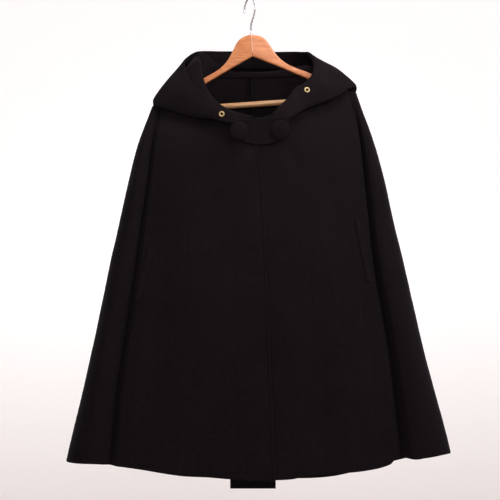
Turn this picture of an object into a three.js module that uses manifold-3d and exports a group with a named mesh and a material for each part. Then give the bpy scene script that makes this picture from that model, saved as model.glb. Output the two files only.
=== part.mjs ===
// A hooded wool cape on a wooden hanger, at rest, in millimetres.
// X runs to the right of the garment's front view, the front faces -Y and Z is up.
// The origin is the inner top of the hanger's hook, where it is hung.
import * as THREE from 'three';
import { mergeVertices } from 'three/addons/utils/BufferGeometryUtils.js';
import Module from 'manifold-3d';

// Cloth and seams
const CLOTH = 2.0;
const SEAM_GAP = 0.3;
const REST_GAP = 0.4;
const FRONT_LAP = 54;
const LAP_STEP = 3.2;
const VALLEY_DIP = 9;
const SIDE_STEP = 2.4;

// Hanger: two flat arms that meet at a tilted joint, a trouser bar and a wire hook
const JOINT = { x: 4.6, z: -88.3 };
const TILT = THREE.MathUtils.degToRad(4);
const SWEEP = Math.tan(THREE.MathUtils.degToRad(8));
const ARM_THICK = 12;
const ARM_BEVEL = 3;
const ARM_TIP = 186;
const ARM_TOP = [
  { out: 0.2, top: 21 }, { out: 15, top: 17.5 }, { out: 27, top: 10 }, { out: 36, top: -5 },
  { out: 47, top: -23 }, { out: 66, top: -40 }, { out: 107, top: -59 }, { out: 150, top: -80 },
  { out: 174, top: -95 }, { out: ARM_TIP, top: -107 },
];
const ARM_UNDER = [
  { out: 184, top: -112 }, { out: 174, top: -119 }, { out: 157, top: -119 }, { out: 154, top: -116 },
  { out: 154, top: -101 }, { out: 107, top: -72 }, { out: 44, top: -41 }, { out: 0.2, top: -21 },
];
const BAR = { up: -109.5, end: 153.7, radius: 5.4, sides: 16 };
const HOOK = { wire: 1.7, radius: 22.5, turn: THREE.MathUtils.degToRad(63.6), stemX: 2.5, foot: -66.6 };

// Shoulders: the cloth lies on the arms out to the dome over each tip
const DOME_AT = 180;
const DOME_DROP = 8;
const DOME_DEPTH = ARM_THICK / 2 + REST_GAP + 0.8 + CLOTH;
const SHOULDER_RISE = 1.8 + CLOTH;
const BASE_Z = -262;
const NECK = { frontZ: -236, backZ: -147, frontY: -45, backY: 34, power: 2.2 };

// Body sections from shoulder to hem. Edge is the front's overlap edge, valley is where front and
// side panels meet and side is the outline, each for the right and left half of the wearer.
const SECTIONS = [
  { z: -241, edge: 14, valleyR: -183, sideR: -204, valleyL: 206, sideL: 229, front: -47, rim: -12, crest: -15, mid: 22, back: 44, spine: 38 },
  { z: -317, edge: 21, valleyR: -189.5, sideR: -225, valleyL: 212, sideL: 251.5, front: -53, rim: -22, crest: -27, mid: 18, back: 50, spine: 42 },
  { z: -420, edge: 28, valleyR: -203, sideR: -247.5, valleyL: 221, sideL: 274, front: -58, rim: -32, crest: -37, mid: 14, back: 56, spine: 47 },
  { z: -522, edge: 32.5, valleyR: -216.5, sideR: -270, valleyL: 231, sideL: 298.5, front: -62, rim: -38, crest: -44, mid: 10, back: 60, spine: 52 },
  { z: -625, edge: 37, valleyR: -231.5, sideR: -290.5, valleyL: 250, sideL: 321, front: -65, rim: -42, crest: -49, mid: 7, back: 64, spine: 56 },
  { z: -728, edge: 41.5, valleyR: -247.5, sideR: -313, valleyL: 263.5, sideL: 347, front: -68, rim: -45, crest: -53, mid: 4, back: 67, spine: 60 },
  { z: -830, edge: 46, valleyR: -257, sideR: -337.5, valleyL: 272.5, sideL: 375, front: -70, rim: -47, crest: -56, mid: 2, back: 70, spine: 63 },
  { z: -935, edge: 49, valleyR: -268, sideR: -362, valleyL: 280, sideL: 396.5, front: -72, rim: -49, crest: -58, mid: 0, back: 72, spine: 66 },
];
// Hem heights round the body: ring 0 to 1 is the front, 1 to 2 the side and 2 to 3 the back
const HEM = [
  { ring: 0, right: -905.5, left: -904 }, { ring: 0.28, right: -901, left: -902 },
  { ring: 0.4, right: -898, left: -896 }, { ring: 0.56, right: -895.4, left: -892 },
  { ring: 0.82, right: -885, left: -886 }, { ring: 0.95, right: -880.5, left: -877 },
  { ring: 1, right: -879, left: -866 }, { ring: 1.3, right: -875.5, left: -867 },
  { ring: 1.62, right: -875.5, left: -860 }, { ring: 2, right: -882, left: -872 },
  { ring: 2.4, right: -906, left: -907 }, { ring: 2.58, right: -911, left: -918.5 },
  { ring: 3, right: -921, left: -921 },
];
const PLEAT = { right: 37.5, left: 50.5, top: -330, hem: -941, seam: 12, grow: 110, startZ: -215, rows: 12 };
const BACK_FLUTES = [
  { at: 0.3, wide: 0.2, deep: 9 }, { at: 0.68, wide: 0.17, deep: -8 },
];
const BACK_SEAM_ANGLE = THREE.MathUtils.degToRad(62);

// Hood, let down: sections round the neck from the front end to the centre of the back.
// Neck is 0 at the centre front, 1 on the shoulder and 2 at the centre back.
const HOOD = {
  right: [
    { neck: 0.05, ex: -4, ey: -53, ez: -231, fx: -20, fy: -54, fz: -244, stand: 5.5, roll: 2.8, puff: 0 },
    { neck: 0.16, ex: -18, ey: -53, ez: -225.5, fx: -50, fy: -53, fz: -238, stand: 8, roll: 3.2, puff: 1 },
    { neck: 0.3, ex: -51.5, ey: -50, ez: -209, fx: -72, fy: -48, fz: -231, stand: 9, roll: 4, puff: 2 },
    { neck: 0.47, ex: -83.5, ey: -41, ez: -190, fx: -104, fy: -36, fz: -228, stand: 9, roll: 4.5, puff: 3 },
    { neck: 0.68, ex: -112, ey: -25, ez: -162, fx: -151, fy: -13, fz: -212, stand: 12, roll: 5, puff: 5 },
    { neck: 0.9, ex: -121, ey: -7, ez: -141, fx: -175, fy: 3, fz: -203, stand: 26, roll: 3.5, puff: 4 },
    { neck: 1.12, ex: -128, ey: 15, ez: -119.5, fx: -187.5, fy: 30, fz: -194.5, stand: 46, roll: 3, puff: 4 },
    { neck: 1.3, ex: -119, ey: 42, ez: -102.5, fx: -174, fy: 62, fz: -232, stand: 45, roll: 9, puff: 9 },
    { neck: 1.5, ex: -102, ey: 62, ez: -92, fx: -140, fy: 80, fz: -292, stand: 30, roll: 12, puff: 11 },
    { neck: 1.75, ex: -54, ey: 78, ez: -90, fx: -78, fy: 89, fz: -346, stand: 13, roll: 15, puff: 13 },
    { neck: 2, ex: 4.6, ey: 84, ez: -90, fx: 5, fy: 92, fz: -370, stand: 9, roll: 16, puff: 14 },
  ],
  left: [
    { neck: 0.05, ex: 36, ey: -53, ez: -232, fx: 50, fy: -54, fz: -243, stand: 5.5, roll: 2.8, puff: 0 },
    { neck: 0.16, ex: 49, ey: -53, ez: -216, fx: 75, fy: -53, fz: -231, stand: 8, roll: 3.2, puff: 1 },
    { neck: 0.3, ex: 70, ey: -45, ez: -196, fx: 91, fy: -46, fz: -221.5, stand: 9, roll: 4, puff: 2 },
    { neck: 0.47, ex: 87, ey: -32, ez: -172, fx: 107, fy: -38, fz: -211, stand: 9, roll: 4.5, puff: 3 },
    { neck: 0.68, ex: 104, ey: -27, ez: -163, fx: 139, fy: -27, fz: -198, stand: 10, roll: 4.5, puff: 5 },
    { neck: 0.9, ex: 120.5, ey: -14, ez: -142.5, fx: 166, fy: -14, fz: -185.5, stand: 9, roll: 4, puff: 7 },
    { neck: 1.1, ex: 124, ey: 6, ez: -120, fx: 195.5, fy: 13, fz: -165, stand: 8, roll: 3, puff: 7 },
    { neck: 1.25, ex: 115, ey: 32, ez: -96.5, fx: 207, fy: 42, fz: -168.5, stand: 16, roll: 3.4, puff: 5 },
    { neck: 1.45, ex: 101, ey: 61, ez: -92, fx: 172, fy: 76, fz: -240, stand: 18, roll: 10, puff: 10 },
    { neck: 1.75, ex: 56, ey: 78, ez: -91, fx: 88, fy: 89, fz: -330, stand: 12, roll: 15, puff: 13 },
    { neck: 2, ex: 4.6, ey: 84, ez: -90, fx: 5, fy: 92, fz: -370, stand: 9, roll: 16, puff: 14 },
  ],
};
const HOOD_SEAM = { up: 0.9, across: 2.4, back: 0.6 };
const HOOD_RISE = { chest: 5, ridge: 9 };
const STAND_LEAN = 9;
const OVER_ARM = 0.06;
const HOOD_COLUMNS = [0, 0.07, 0.135, 0.2, 0.26, 0.32, 0.38, 0.43, 0.465, 0.495, 0.525, 0.56, 0.59, 0.64, 0.72, 0.81, 0.9, 1];
const HOOD_PLACES = [0, 1, 2, 2.5, 3, 3.5, 4, 5, 6, 6.5, 7, 7.5, 8];
const FACING = { wide: 32, gap: 1, thick: 1.4, proud: 2.2, from: 0.12 };

// Fastenings
const TAB = { x: 21, y: -58.4, z: -231, half: 54, high: 50, thick: 3.6, bevel: 1, lean: 0.17, power: 0.87 };
const BUTTONS = [
  { name: 'button_right', x: -20, z: -254.5, r: 17 },
  { name: 'button_left', x: 57.4, z: -253.5, r: 18 },
];
const BUTTON = { dome: 5.5, edge: 2.2, back: 0.8, seat: 0.4 };
const EYELETS = [
  { name: 'eyelet_right', half: 'right', along: 0.165, place: 6.9 },
  { name: 'eyelet_left', half: 'left', along: 0.37, place: 7.35 },
];
const EYELET = { outer: 5.2, hole: 2.6, rise: 0.9, seat: 0.6 };
const SLITS = [
  { name: 'slit_welt_right', half: 'right', top: { x: -178.6, z: -473 }, foot: { x: -203.8, z: -574 } },
  { name: 'slit_welt_left', half: 'left', top: { x: 196, z: -420 }, foot: { x: 219, z: -537 } },
];
const WELT = { wide: 11, thick: 1.8, seat: 0.7, slit: 2.5, slitAt: 4, inset: 8, rows: 7 };

const FINISH = {
  wool: new THREE.MeshStandardMaterial({ color: 0x171216, roughness: 0.95, metalness: 0 }),
  wood: new THREE.MeshStandardMaterial({ color: 0xcc8450, roughness: 0.45, metalness: 0 }),
  brass: new THREE.MeshStandardMaterial({ color: 0xc9a25e, roughness: 0.3, metalness: 1 }),
  steel: new THREE.MeshStandardMaterial({ color: 0xb9bcc0, roughness: 0.25, metalness: 1 }),
};

const cape = new THREE.Group();
const wasm = await Module();
wasm.setup();

const lerp = THREE.MathUtils.lerp;
const clamp01 = (value) => Math.min(1, Math.max(0, value));
const smooth = (value) => clamp01(value) ** 2 * (3 - 2 * clamp01(value));
const at = (x, y, z) => new THREE.Vector3(x, y, z);
// Steps along the neckline get shorter where it climbs to the shoulder
const closing = (share, power) => 1 - (1 - share) ** power;

// Reads one named column of a table at a place between its rows, on a smooth curve
function read(table, key, name, where) {
  const step = Math.sign(table[1][key] - table[0][key]);
  let row = 0;
  while (row < table.length - 2 && (where - table[row + 1][key]) * step > 0) {
    row += 1;
  }
  const slope = (k) => {
    const before = table[Math.max(0, k - 1)];
    const after = table[Math.min(table.length - 1, k + 1)];
    return (after[name] - before[name]) / (after[key] - before[key]);
  };
  const [low, high] = [table[row], table[row + 1]];
  const span = high[key] - low[key];
  const t = clamp01((where - low[key]) / span);
  const rise = (1 + 2 * t) * (1 - t) ** 2 * low[name] + t * t * (3 - 2 * t) * high[name];
  return rise + (t * (1 - t) ** 2 * slope(row) + t * t * (t - 1) * slope(row + 1)) * span;
}

// Turns a place in the hanger's own plane into the garment's frame
function onHanger(out, up, side) {
  const along = side * out;
  return at(
    JOINT.x + along * Math.cos(TILT) - up * Math.sin(TILT),
    out * SWEEP,
    JOINT.z + along * Math.sin(TILT) + up * Math.cos(TILT),
  );
}

// The cloth's highest line along one arm
function shoulder(out, side) {
  const line = onHanger(out, read(ARM_TOP, 'out', 'top', out), side);
  line.z += SHOULDER_RISE;
  return line;
}

const HALVES = {
  right: { side: -1, neck: 103, valley: 'valleyR', outline: 'sideR', hem: 'right', domeWide: 17, lap: 0, dip: VALLEY_DIP, step: 0, drop: 0 },
  left: { side: 1, neck: 115, valley: 'valleyL', outline: 'sideL', hem: 'left', domeWide: 16, lap: FRONT_LAP, dip: 0, step: SIDE_STEP, drop: LAP_STEP },
};

// Where the top edge of a front or back panel lies: the neckline, then the shoulder line
function topEdge(half, across, isFront) {
  const { side, lap } = half;
  const neckSide = shoulder(half.neck, side);
  const tip = shoulder(DOME_AT, side);
  const edge = read(SECTIONS, 'z', 'edge', BASE_Z);
  const start = isFront ? edge - lap : side * SEAM_GAP;
  const x = lerp(start, tip.x, across);
  if ((x - neckSide.x) * side > 0) {
    const out = lerp(half.neck, DOME_AT, (x - neckSide.x) / (tip.x - neckSide.x));
    return { point: shoulder(out, side), roll: 1 };
  }
  if (isFront && lap > 0 && x < edge) {
    const cover = topEdge(HALVES.right, (edge - x) / (edge - shoulder(DOME_AT, -1).x), true);
    return { point: at(x, cover.point.y + half.drop, cover.point.z - 1), roll: 0 };
  }
  const centre = isFront ? edge : start;
  const t = (x - centre) / (neckSide.x - centre);
  const low = isFront ? NECK.frontZ : NECK.backZ;
  const y = isFront ? NECK.frontY + half.drop : NECK.backY;
  const z = neckSide.z - (neckSide.z - low) * (1 - t ** NECK.power) ** 0.6;
  const face = neckSide.y + (isFront ? -1 : 1) * DOME_DEPTH;
  return { point: at(x, lerp(y, face, t ** 3), z), roll: 0 };
}

// The ring place of the neckline's corner on the shoulder
function neckRing(half, isFront) {
  const start = isFront ? read(SECTIONS, 'z', 'edge', BASE_Z) - half.lap : half.side * SEAM_GAP;
  return (shoulder(half.neck, half.side).x - start) / (shoulder(DOME_AT, half.side).x - start);
}

// A point of the body's section at one height, by its place round the ring
function sectionPoint(half, ring, z) {
  const value = (name) => read(SECTIONS, 'z', name, z);
  const valleyX = value(half.valley);
  const outline = value(half.outline);
  const crestX = lerp(valleyX, outline, 0.45);
  const seam = { x: Math.abs(outline - crestX) * Math.cos(BACK_SEAM_ANGLE), y: Math.sin(BACK_SEAM_ANGLE) };
  const seamX = crestX + half.side * seam.x;
  const seamY = value('mid') + (value('back') - value('mid')) * seam.y;
  const fall = clamp01((-z - 300) / 600);
  if (ring <= 1) {
    const edge = value('edge');
    const x = lerp(edge - half.lap, valleyX, ring);
    if (x < edge && half.lap > 0) {
      const cover = sectionPoint(HALVES.right, (edge - x) / (edge - value('valleyR')), z);
      return at(x, cover.y + half.drop, z);
    }
    const t = (x - edge) / (valleyX - edge);
    const broad = lerp(value('front') + half.drop, value('rim'), t ** 2);
    const swell = -5 * fall * Math.sin(Math.PI * clamp01((t - 0.35) / 0.5)) ** 2;
    return at(x, broad + swell + half.dip * smooth((t - 0.9) / 0.1), z);
  }
  if (ring <= 1.4) {
    const t = (ring - 1) / 0.4;
    const bell = half.dip > 0 ? Math.exp(-((t / 0.3) ** 2)) : half.step / VALLEY_DIP
      + (1 - half.step / VALLEY_DIP) * smooth(t / 0.2) - smooth((t - 0.2) / 0.6);
    const y = lerp(value('rim'), value('crest'), smooth(t)) + VALLEY_DIP * Math.max(0, bell);
    return at(lerp(valleyX, crestX, t), y, z);
  }
  if (ring <= 2) {
    const angle = lerp(-Math.PI / 2, BACK_SEAM_ANGLE, (ring - 1.4) / 0.6);
    const depth = angle < 0 ? value('mid') - value('crest') : value('back') - value('mid');
    return at(crestX + (outline - crestX) * Math.cos(angle), value('mid') + depth * Math.sin(angle), z);
  }
  const t = ring - 2;
  const x = lerp(seamX, half.side * SEAM_GAP, t);
  const settle = lerp(value('back'), value('spine'), smooth((t - 0.15) / 0.85));
  const turn = Math.exp(-t / 0.05);
  const flutes = BACK_FLUTES.reduce(
    (sum, flute) => sum + flute.deep * Math.exp(-(((t - flute.at) / flute.wide) ** 2) * 2.5), 0);
  return at(x, lerp(settle, seamY, turn) + flutes * fall, z);
}

const TOP_STEPS = [0, 0.5, 2, 4.6, DOME_DROP];
const SHOULDER_ROWS = 3;
const BODY_ROWS = 9;
const ROWS = TOP_STEPS.length + SHOULDER_ROWS + BODY_ROWS;

// One column of the body from its top edge down to the hem
function bodyColumn(half, ring) {
  const isFront = ring <= 1;
  const isBack = ring >= 2;
  const tip = shoulder(DOME_AT, half.side);
  const top = isFront || isBack ? topEdge(half, isFront ? ring : 3 - ring, isFront) : { point: tip, roll: 1 };
  const swing = lerp(-Math.PI / 2, Math.PI / 2, clamp01(ring - 1));
  const foot = read(HEM, 'ring', half.hem, ring);
  const capped = !isFront && !isBack;
  const points = [];
  for (let row = 0; row < ROWS; row += 1) {
    const drop = capped && row === 0 ? TOP_STEPS[1] * 0.6 : TOP_STEPS[Math.min(row, TOP_STEPS.length - 1)];
    const round = Math.sqrt(1 - (1 - drop / DOME_DROP) ** 2);
    const shoulderPoint = at(
      top.point.x + half.side * half.domeWide * Math.cos(swing) * round * (capped ? 1 : 0),
      top.point.y + DOME_DEPTH * Math.sin(swing) * round * top.roll,
      top.point.z - drop,
    );
    const stage = row - TOP_STEPS.length + 1;
    if (stage <= 0) {
      points.push(shoulderPoint);
    } else if (stage <= SHOULDER_ROWS) {
      const share = stage / SHOULDER_ROWS;
      const base = sectionPoint(half, ring, BASE_Z);
      const ease = capped ? share : lerp(share, smooth(share), 0.6);
      points.push(at(
        lerp(shoulderPoint.x, base.x, share),
        lerp(shoulderPoint.y, base.y, ease),
        lerp(shoulderPoint.z, BASE_Z, share),
      ));
    } else {
      points.push(sectionPoint(half, ring, lerp(BASE_Z, foot, (stage - SHOULDER_ROWS) / BODY_ROWS)));
    }
  }
  return points;
}

// The back's folded edge: the cloth turns in at the centre and runs back under itself
const RETURN_TURN = CLOTH + 0.3;
function backSurface(half, x, z, edgeY) {
  if (z > BASE_Z) {
    return edgeY;
  }
  const reach = Math.abs(x / sectionPoint(half, 2, z).x);
  return sectionPoint(half, 3 - clamp01(reach), z).y;
}

function pleatReturn(half, step) {
  return bodyColumn(half, 3).map((point) => {
    const wide = lerp(PLEAT.seam, PLEAT[half.hem], smooth((PLEAT.startZ - point.z) / PLEAT.grow));
    const angle = Math.min(step, 3) / 3 * Math.PI;
    const slide = step > 3 ? (step - 3) / 2 * wide : RETURN_TURN * (1 - Math.sin(Math.max(angle, Math.PI / 2)));
    const x = half.side * (SEAM_GAP + slide);
    const inward = RETURN_TURN * (1 - Math.cos(angle));
    return at(x, backSurface(half, x, point.z, point.y) - inward, point.z);
  });
}

// Normals of a grid of points, from its neighbours on both sides
function gridNormals(grid) {
  return grid.map((column, i) => column.map((point, j) => {
    const across = grid[Math.min(i + 1, grid.length - 1)][j].clone().sub(grid[Math.max(i - 1, 0)][j]);
    const down = column[Math.min(j + 1, column.length - 1)].clone().sub(column[Math.max(j - 1, 0)]);
    return across.cross(down).normalize();
  }));
}

// A closed cloth wall: the grid is its face and the other face lies one thickness behind
function wall(grid, normals, thick, flip) {
  const [nu, nv] = [grid.length, grid[0].length];
  const positions = [];
  const faces = [];
  const index = (i, j, layer) => (layer * nu + i) * nv + j;
  for (const layer of [0, 1]) {
    grid.forEach((column, i) => column.forEach((point, j) => {
      const shift = normals[i][j].clone().multiplyScalar(-thick * layer);
      positions.push(...point.clone().add(shift).toArray());
    }));
  }
  const quad = (a, b, c, d) => {
    faces.push(...(flip ? [a, c, b, a, d, c] : [a, b, c, a, c, d]));
  };
  for (let i = 0; i < nu - 1; i += 1) {
    for (let j = 0; j < nv - 1; j += 1) {
      quad(index(i, j, 0), index(i + 1, j, 0), index(i + 1, j + 1, 0), index(i, j + 1, 0));
      quad(index(i, j, 1), index(i, j + 1, 1), index(i + 1, j + 1, 1), index(i + 1, j, 1));
    }
    quad(index(i, 0, 0), index(i, 0, 1), index(i + 1, 0, 1), index(i + 1, 0, 0));
    quad(index(i, nv - 1, 0), index(i + 1, nv - 1, 0), index(i + 1, nv - 1, 1), index(i, nv - 1, 1));
  }
  for (let j = 0; j < nv - 1; j += 1) {
    quad(index(0, j, 0), index(0, j + 1, 0), index(0, j + 1, 1), index(0, j, 1));
    quad(index(nu - 1, j, 0), index(nu - 1, j, 1), index(nu - 1, j + 1, 1), index(nu - 1, j + 1, 0));
  }
  const geometry = new THREE.BufferGeometry();
  geometry.setAttribute('position', new THREE.Float32BufferAttribute(positions, 3));
  geometry.setIndex(faces);
  return geometry;
}

function addPiece(name, geometry, finish) {
  const mesh = new THREE.Mesh(geometry, FINISH[finish].clone());
  mesh.name = name;
  cape.add(mesh);
  return mesh;
}

// Cuts one panel out of a run of columns, its seams half a seam gap inside the shared lines
function panelFrom(run, normals, first, last) {
  const grid = run.slice(first, last + 1).map((column) => column.map((point) => point.clone()));
  const trim = (edge, inner) => grid[edge].forEach((point, j) => {
    const way = grid[inner][j].clone().sub(point);
    point.add(way.setLength(Math.min(SEAM_GAP / 2, way.length() * 0.4)));
  });
  trim(0, 1);
  trim(grid.length - 1, grid.length - 2);
  return { grid, normals: normals.slice(first, last + 1) };
}

const steps = (from, to, count) => Array.from({ length: count + 1 }, (_, k) => lerp(from, to, k / count));
const SIDE_RINGS = [1, 1.05, 1.11, 1.2, 1.3, 1.4, 1.5, 1.6, 1.7, 1.8, 1.9, 2];
const RETURN_STEPS = [1, 2, 3, 4, 5];
// The folded edge's inner face from its outer one, in thicknesses sideways and forward, column by column
const FOLD_INNER = [
  { aside: 0.925, forward: 1 }, { aside: 1.025, forward: 0.485 },
  { aside: 0.886, forward: -0.495 }, { aside: 0.05, forward: -1 },
];
const CORNER = 0.004;

function frontRings(half) {
  const corner = neckRing(half, true);
  const neckline = steps(0, 1, 9).map((share) => (corner - CORNER) * closing(share, 2));
  return [...neckline, ...steps(corner + CORNER, 0.88, 3), 0.92, 0.96, 1];
}

function backRings(half) {
  const corner = neckRing(half, false);
  const neckline = steps(1, 0, 5).map((share) => 3 - (corner - CORNER) * closing(share, 1.5));
  return [2, 2.05, 2.1, ...steps(2.2, 3 - corner - CORNER, 3), ...neckline];
}

// The shoulder seam's edges face straight up, and the neckline's edges stay as they lie
function squareShoulder(run, normals, rings, half) {
  rings.forEach((ring, i) => {
    const out = ring <= 1 ? ring : 3 - ring;
    if ((ring <= 1 || ring >= 2) && topEdge(half, clamp01(out), ring <= 1).roll >= 0.6) {
      normals[i][0].y = 0;
      normals[i][0].normalize();
      run[i][0].y += (ring <= 1 ? -1 : 1) * SEAM_GAP / 2;
    }
  });
}

const fronts = {};
const backs = {};
for (const [name, half] of Object.entries(HALVES)) {
  const flip = half.side > 0;
  const facing = flip ? -1 : 1;
  const ahead = frontRings(half);
  const frontRun = ahead.map((ring) => bodyColumn(half, ring));
  const restRings = [...SIDE_RINGS, ...backRings(half).slice(1)];
  const restRun = restRings.map((ring) => bodyColumn(half, ring));
  const returns = RETURN_STEPS.map((step) => pleatReturn(half, step));
  const rings = [...ahead, ...restRings.slice(1)];
  const whole = [...frontRun, ...restRun.slice(1), ...returns];
  const sideFirst = ahead.length - 1;
  const backFirst = sideFirst + SIDE_RINGS.length - 1;
  let normals = gridNormals(whole);
  let frontNormals = normals;
  if (half.step > 0) {
    frontNormals = gridNormals(frontRun);
    whole.splice(sideFirst, 1, restRun[0].map((point, j) => {
      const sink = half.step * clamp01((j - 2) / SHOULDER_ROWS);
      return at(point.x, frontRun[sideFirst][j].y + sink, point.z);
    }));
    normals = [...normals.slice(0, sideFirst), ...gridNormals(whole.slice(sideFirst))];
  }
  const outward = (list) => list.map((column) => column.map((normal) => normal.multiplyScalar(facing)));
  if (half.step > 0) {
    outward(frontNormals);
  }
  outward(normals);
  squareShoulder(whole, normals, rings, half);
  FOLD_INNER.forEach(({ aside, forward }, k) => {
    normals[rings.length - 1 + k].forEach((normal) => normal.set(-half.side * aside, forward, 0));
  });
  if (half.step > 0) {
    squareShoulder(frontRun, frontNormals, ahead, half);
  }
  const front = panelFrom(half.step > 0 ? frontRun : whole, frontNormals, 0, sideFirst);
  const side = panelFrom(whole, normals, sideFirst, backFirst);
  const back = panelFrom(whole, normals, backFirst, whole.length - 1);
  fronts[name] = front;
  backs[name] = back;
  addPiece(`front_${name}`, wall(front.grid, front.normals, CLOTH, flip), 'wool');
  addPiece(`side_${name}`, wall(side.grid, side.normals, CLOTH, flip), 'wool');
  addPiece(`back_${name}`, wall(back.grid, back.normals, CLOTH, flip), 'wool');
}

// The pleat's underlay lies inside the two returns and hangs below the hem
function pleatUnderlay() {
  const grid = steps(-PLEAT.right, PLEAT.left, 4).map((x) => steps(PLEAT.top, PLEAT.hem, PLEAT.rows).map((z) => {
    const half = x < 0 ? HALVES.right : HALVES.left;
    const level = backSurface(half, x, Math.min(z, BASE_Z), 0);
    return at(x + half.side * SEAM_GAP, level - 2 * RETURN_TURN - REST_GAP, z);
  }));
  return wall(grid, gridNormals(grid), CLOTH, false);
}
addPiece('back_pleat', pleatUnderlay(), 'wool');

// Where the hood's seam lies on the neckline, and which way the body rises there
function neckPlace(half, neck) {
  const isFront = neck <= 1;
  const share = (isFront ? neck : 2 - neck) / (1 - OVER_ARM);
  const corner = shoulder(half.neck, half.side);
  if (share >= 1) {
    const rise = at(0, 0, 1);
    const depth = DOME_DEPTH * (neck - 1) / OVER_ARM;
    return { seam: corner.add(at(0, depth, SEAM_GAP)), rise };
  }
  const edge = read(SECTIONS, 'z', 'edge', BASE_Z);
  const start = isFront ? edge - half.lap : half.side * SEAM_GAP;
  const x = lerp(isFront ? edge : start, corner.x, Math.min(closing(share, 1.5), 0.999));
  const across = (x - start) / (shoulder(DOME_AT, half.side).x - start);
  const ring = isFront ? across : 3 - across;
  const column = bodyColumn(half, ring);
  const rise = column[0].clone().sub(column[4]).normalize();
  const inward = at(-half.side * HOOD_SEAM.across * share, (isFront ? 1 : -1) * HOOD_SEAM.back, 0);
  return { seam: column[0].addScaledVector(rise, HOOD_SEAM.up).add(inward), rise };
}

const vector = (row, a, b, c) => at(row[a], row[b], row[c]);

// The hood's sections between the rows of its table
function hoodRow(halfName, along) {
  const table = HOOD[halfName].map((row, index, all) => ({ ...row, place: index / (all.length - 1) }));
  const row = {};
  for (const name of Object.keys(HOOD[halfName][0])) {
    row[name] = read(table, 'place', name, along);
  }
  return row;
}

// One section of the hood: from the neck seam over the stand, down to the rolled fold and up
// the outer layer to the face edge
function hoodCurve(halfName, along) {
  const half = HALVES[halfName];
  const row = hoodRow(halfName, along);
  const edge = vector(row, 'ex', 'ey', 'ez');
  const fold = vector(row, 'fx', 'fy', 'fz');
  const ahead = vector(hoodRow(halfName, Math.min(1, along + 0.02)), 'fx', 'fy', 'fz');
  const behind = vector(hoodRow(halfName, Math.max(0, along - 0.02)), 'fx', 'fy', 'fz');
  const up = edge.clone().sub(fold).normalize();
  const out = ahead.sub(behind).cross(up).multiplyScalar(half.side).normalize();
  const { seam, rise } = neckPlace(half, row.neck);
  const chest = Math.exp(-(((row.neck - 0.7) / 0.3) ** 2));
  const ridge = Math.exp(-(((row.neck - 1) / 0.3) ** 2));
  const away = at(seam.x - 8, seam.y + 4 - 60 * chest, 0).normalize();
  const under = fold.clone().addScaledVector(out, -2 * row.roll).addScaledVector(up, row.roll);
  const bottom = fold.clone().addScaledVector(out, -row.roll);
  const outer = fold.clone().addScaledVector(up, row.roll);
  const { stand } = row;
  const lean = Math.min(stand, STAND_LEAN);
  const middle = seam.clone().lerp(under, 0.5).addScaledVector(away, 0.12 * lean);
  const points = [
    seam,
    seam.clone().addScaledVector(rise, 0.65 * stand).addScaledVector(away, 0.1 * lean),
    seam.clone().addScaledVector(away, 0.6 * lean).add(at(0, 0, stand)),
    middle.add(at(0, -HOOD_RISE.chest * chest, 0.3 * stand + HOOD_RISE.ridge * ridge)),
    under,
    bottom,
    outer,
    outer.clone().lerp(edge, 0.5).addScaledVector(out, row.puff),
    edge,
  ];
  return new THREE.CatmullRomCurve3(points, false, 'centripetal');
}

const hoodPoint = (halfName, along, place) => hoodCurve(halfName, along).getPoint(place / 8);

// A hood's grid, from its front end to the centre back, and its outward normals
function hoodGrid(halfName) {
  const grid = HOOD_COLUMNS.map((along) => {
    const curve = hoodCurve(halfName, along);
    return HOOD_PLACES.map((place) => curve.getPoint(place / 8));
  });
  grid[HOOD_COLUMNS.length - 1].forEach((point) => {
    point.x = JOINT.x + HALVES[halfName].side * SEAM_GAP / 2;
  });
  const facing = HALVES[halfName].side;
  const normals = gridNormals(grid).map((column) => column.map((normal) => normal.multiplyScalar(facing)));
  normals[HOOD_COLUMNS.length - 1].forEach((normal) => normal.setX(0).normalize());
  return { grid, normals, flip: facing < 0 };
}

const hoods = {};
for (const name of Object.keys(HALVES)) {
  const hood = hoodGrid(name);
  hoods[name] = hood;
  addPiece(`hood_${name}`, wall(hood.grid, hood.normals, CLOTH, hood.flip), 'wool');
}

// The facing lies inside the outer layer along the face edge and stands a little past it
function hoodFacing(halfName) {
  const { grid, normals, flip } = hoods[halfName];
  const first = HOOD_COLUMNS.findIndex((along) => along > FACING.from);
  const last = HOOD_PLACES.length - 1;
  const face = grid.slice(first).map((column, i) => {
    const inner = column.map((point, j) => (
      point.clone().addScaledVector(normals[first + i][j], -CLOTH - FACING.gap)));
    const [edge, low, lowest] = [inner[last], inner[last - 1], inner[last - 2]];
    const upper = Math.min(1, FACING.wide / edge.distanceTo(low));
    const rest = Math.min(1, Math.max(0, FACING.wide - edge.distanceTo(low)) / low.distanceTo(lowest));
    const foot = upper < 1 ? edge.clone().lerp(low, upper) : low.clone().lerp(lowest, rest);
    const middle = edge.clone().lerp(low, upper < 1 ? upper / 2 : 1);
    const past = edge.clone().addScaledVector(edge.clone().sub(low).normalize(), FACING.proud);
    return [foot, middle, edge, past];
  });
  const faceNormals = normals.slice(first).map((column) => [last - 1, last - 1, last, last].map((j) => column[j]));
  return wall(face, faceNormals, FACING.thick, flip);
}
for (const name of Object.keys(HALVES)) {
  addPiece(`hood_facing_${name}`, hoodFacing(name), 'wool');
}

// Arm slits: a cut through the front and the welt that lies over it
function frontPoint(half, x, z) {
  const start = read(SECTIONS, 'z', 'edge', z) - half.lap;
  return sectionPoint(half, (x - start) / (read(SECTIONS, 'z', half.valley, z) - start), z);
}

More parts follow.
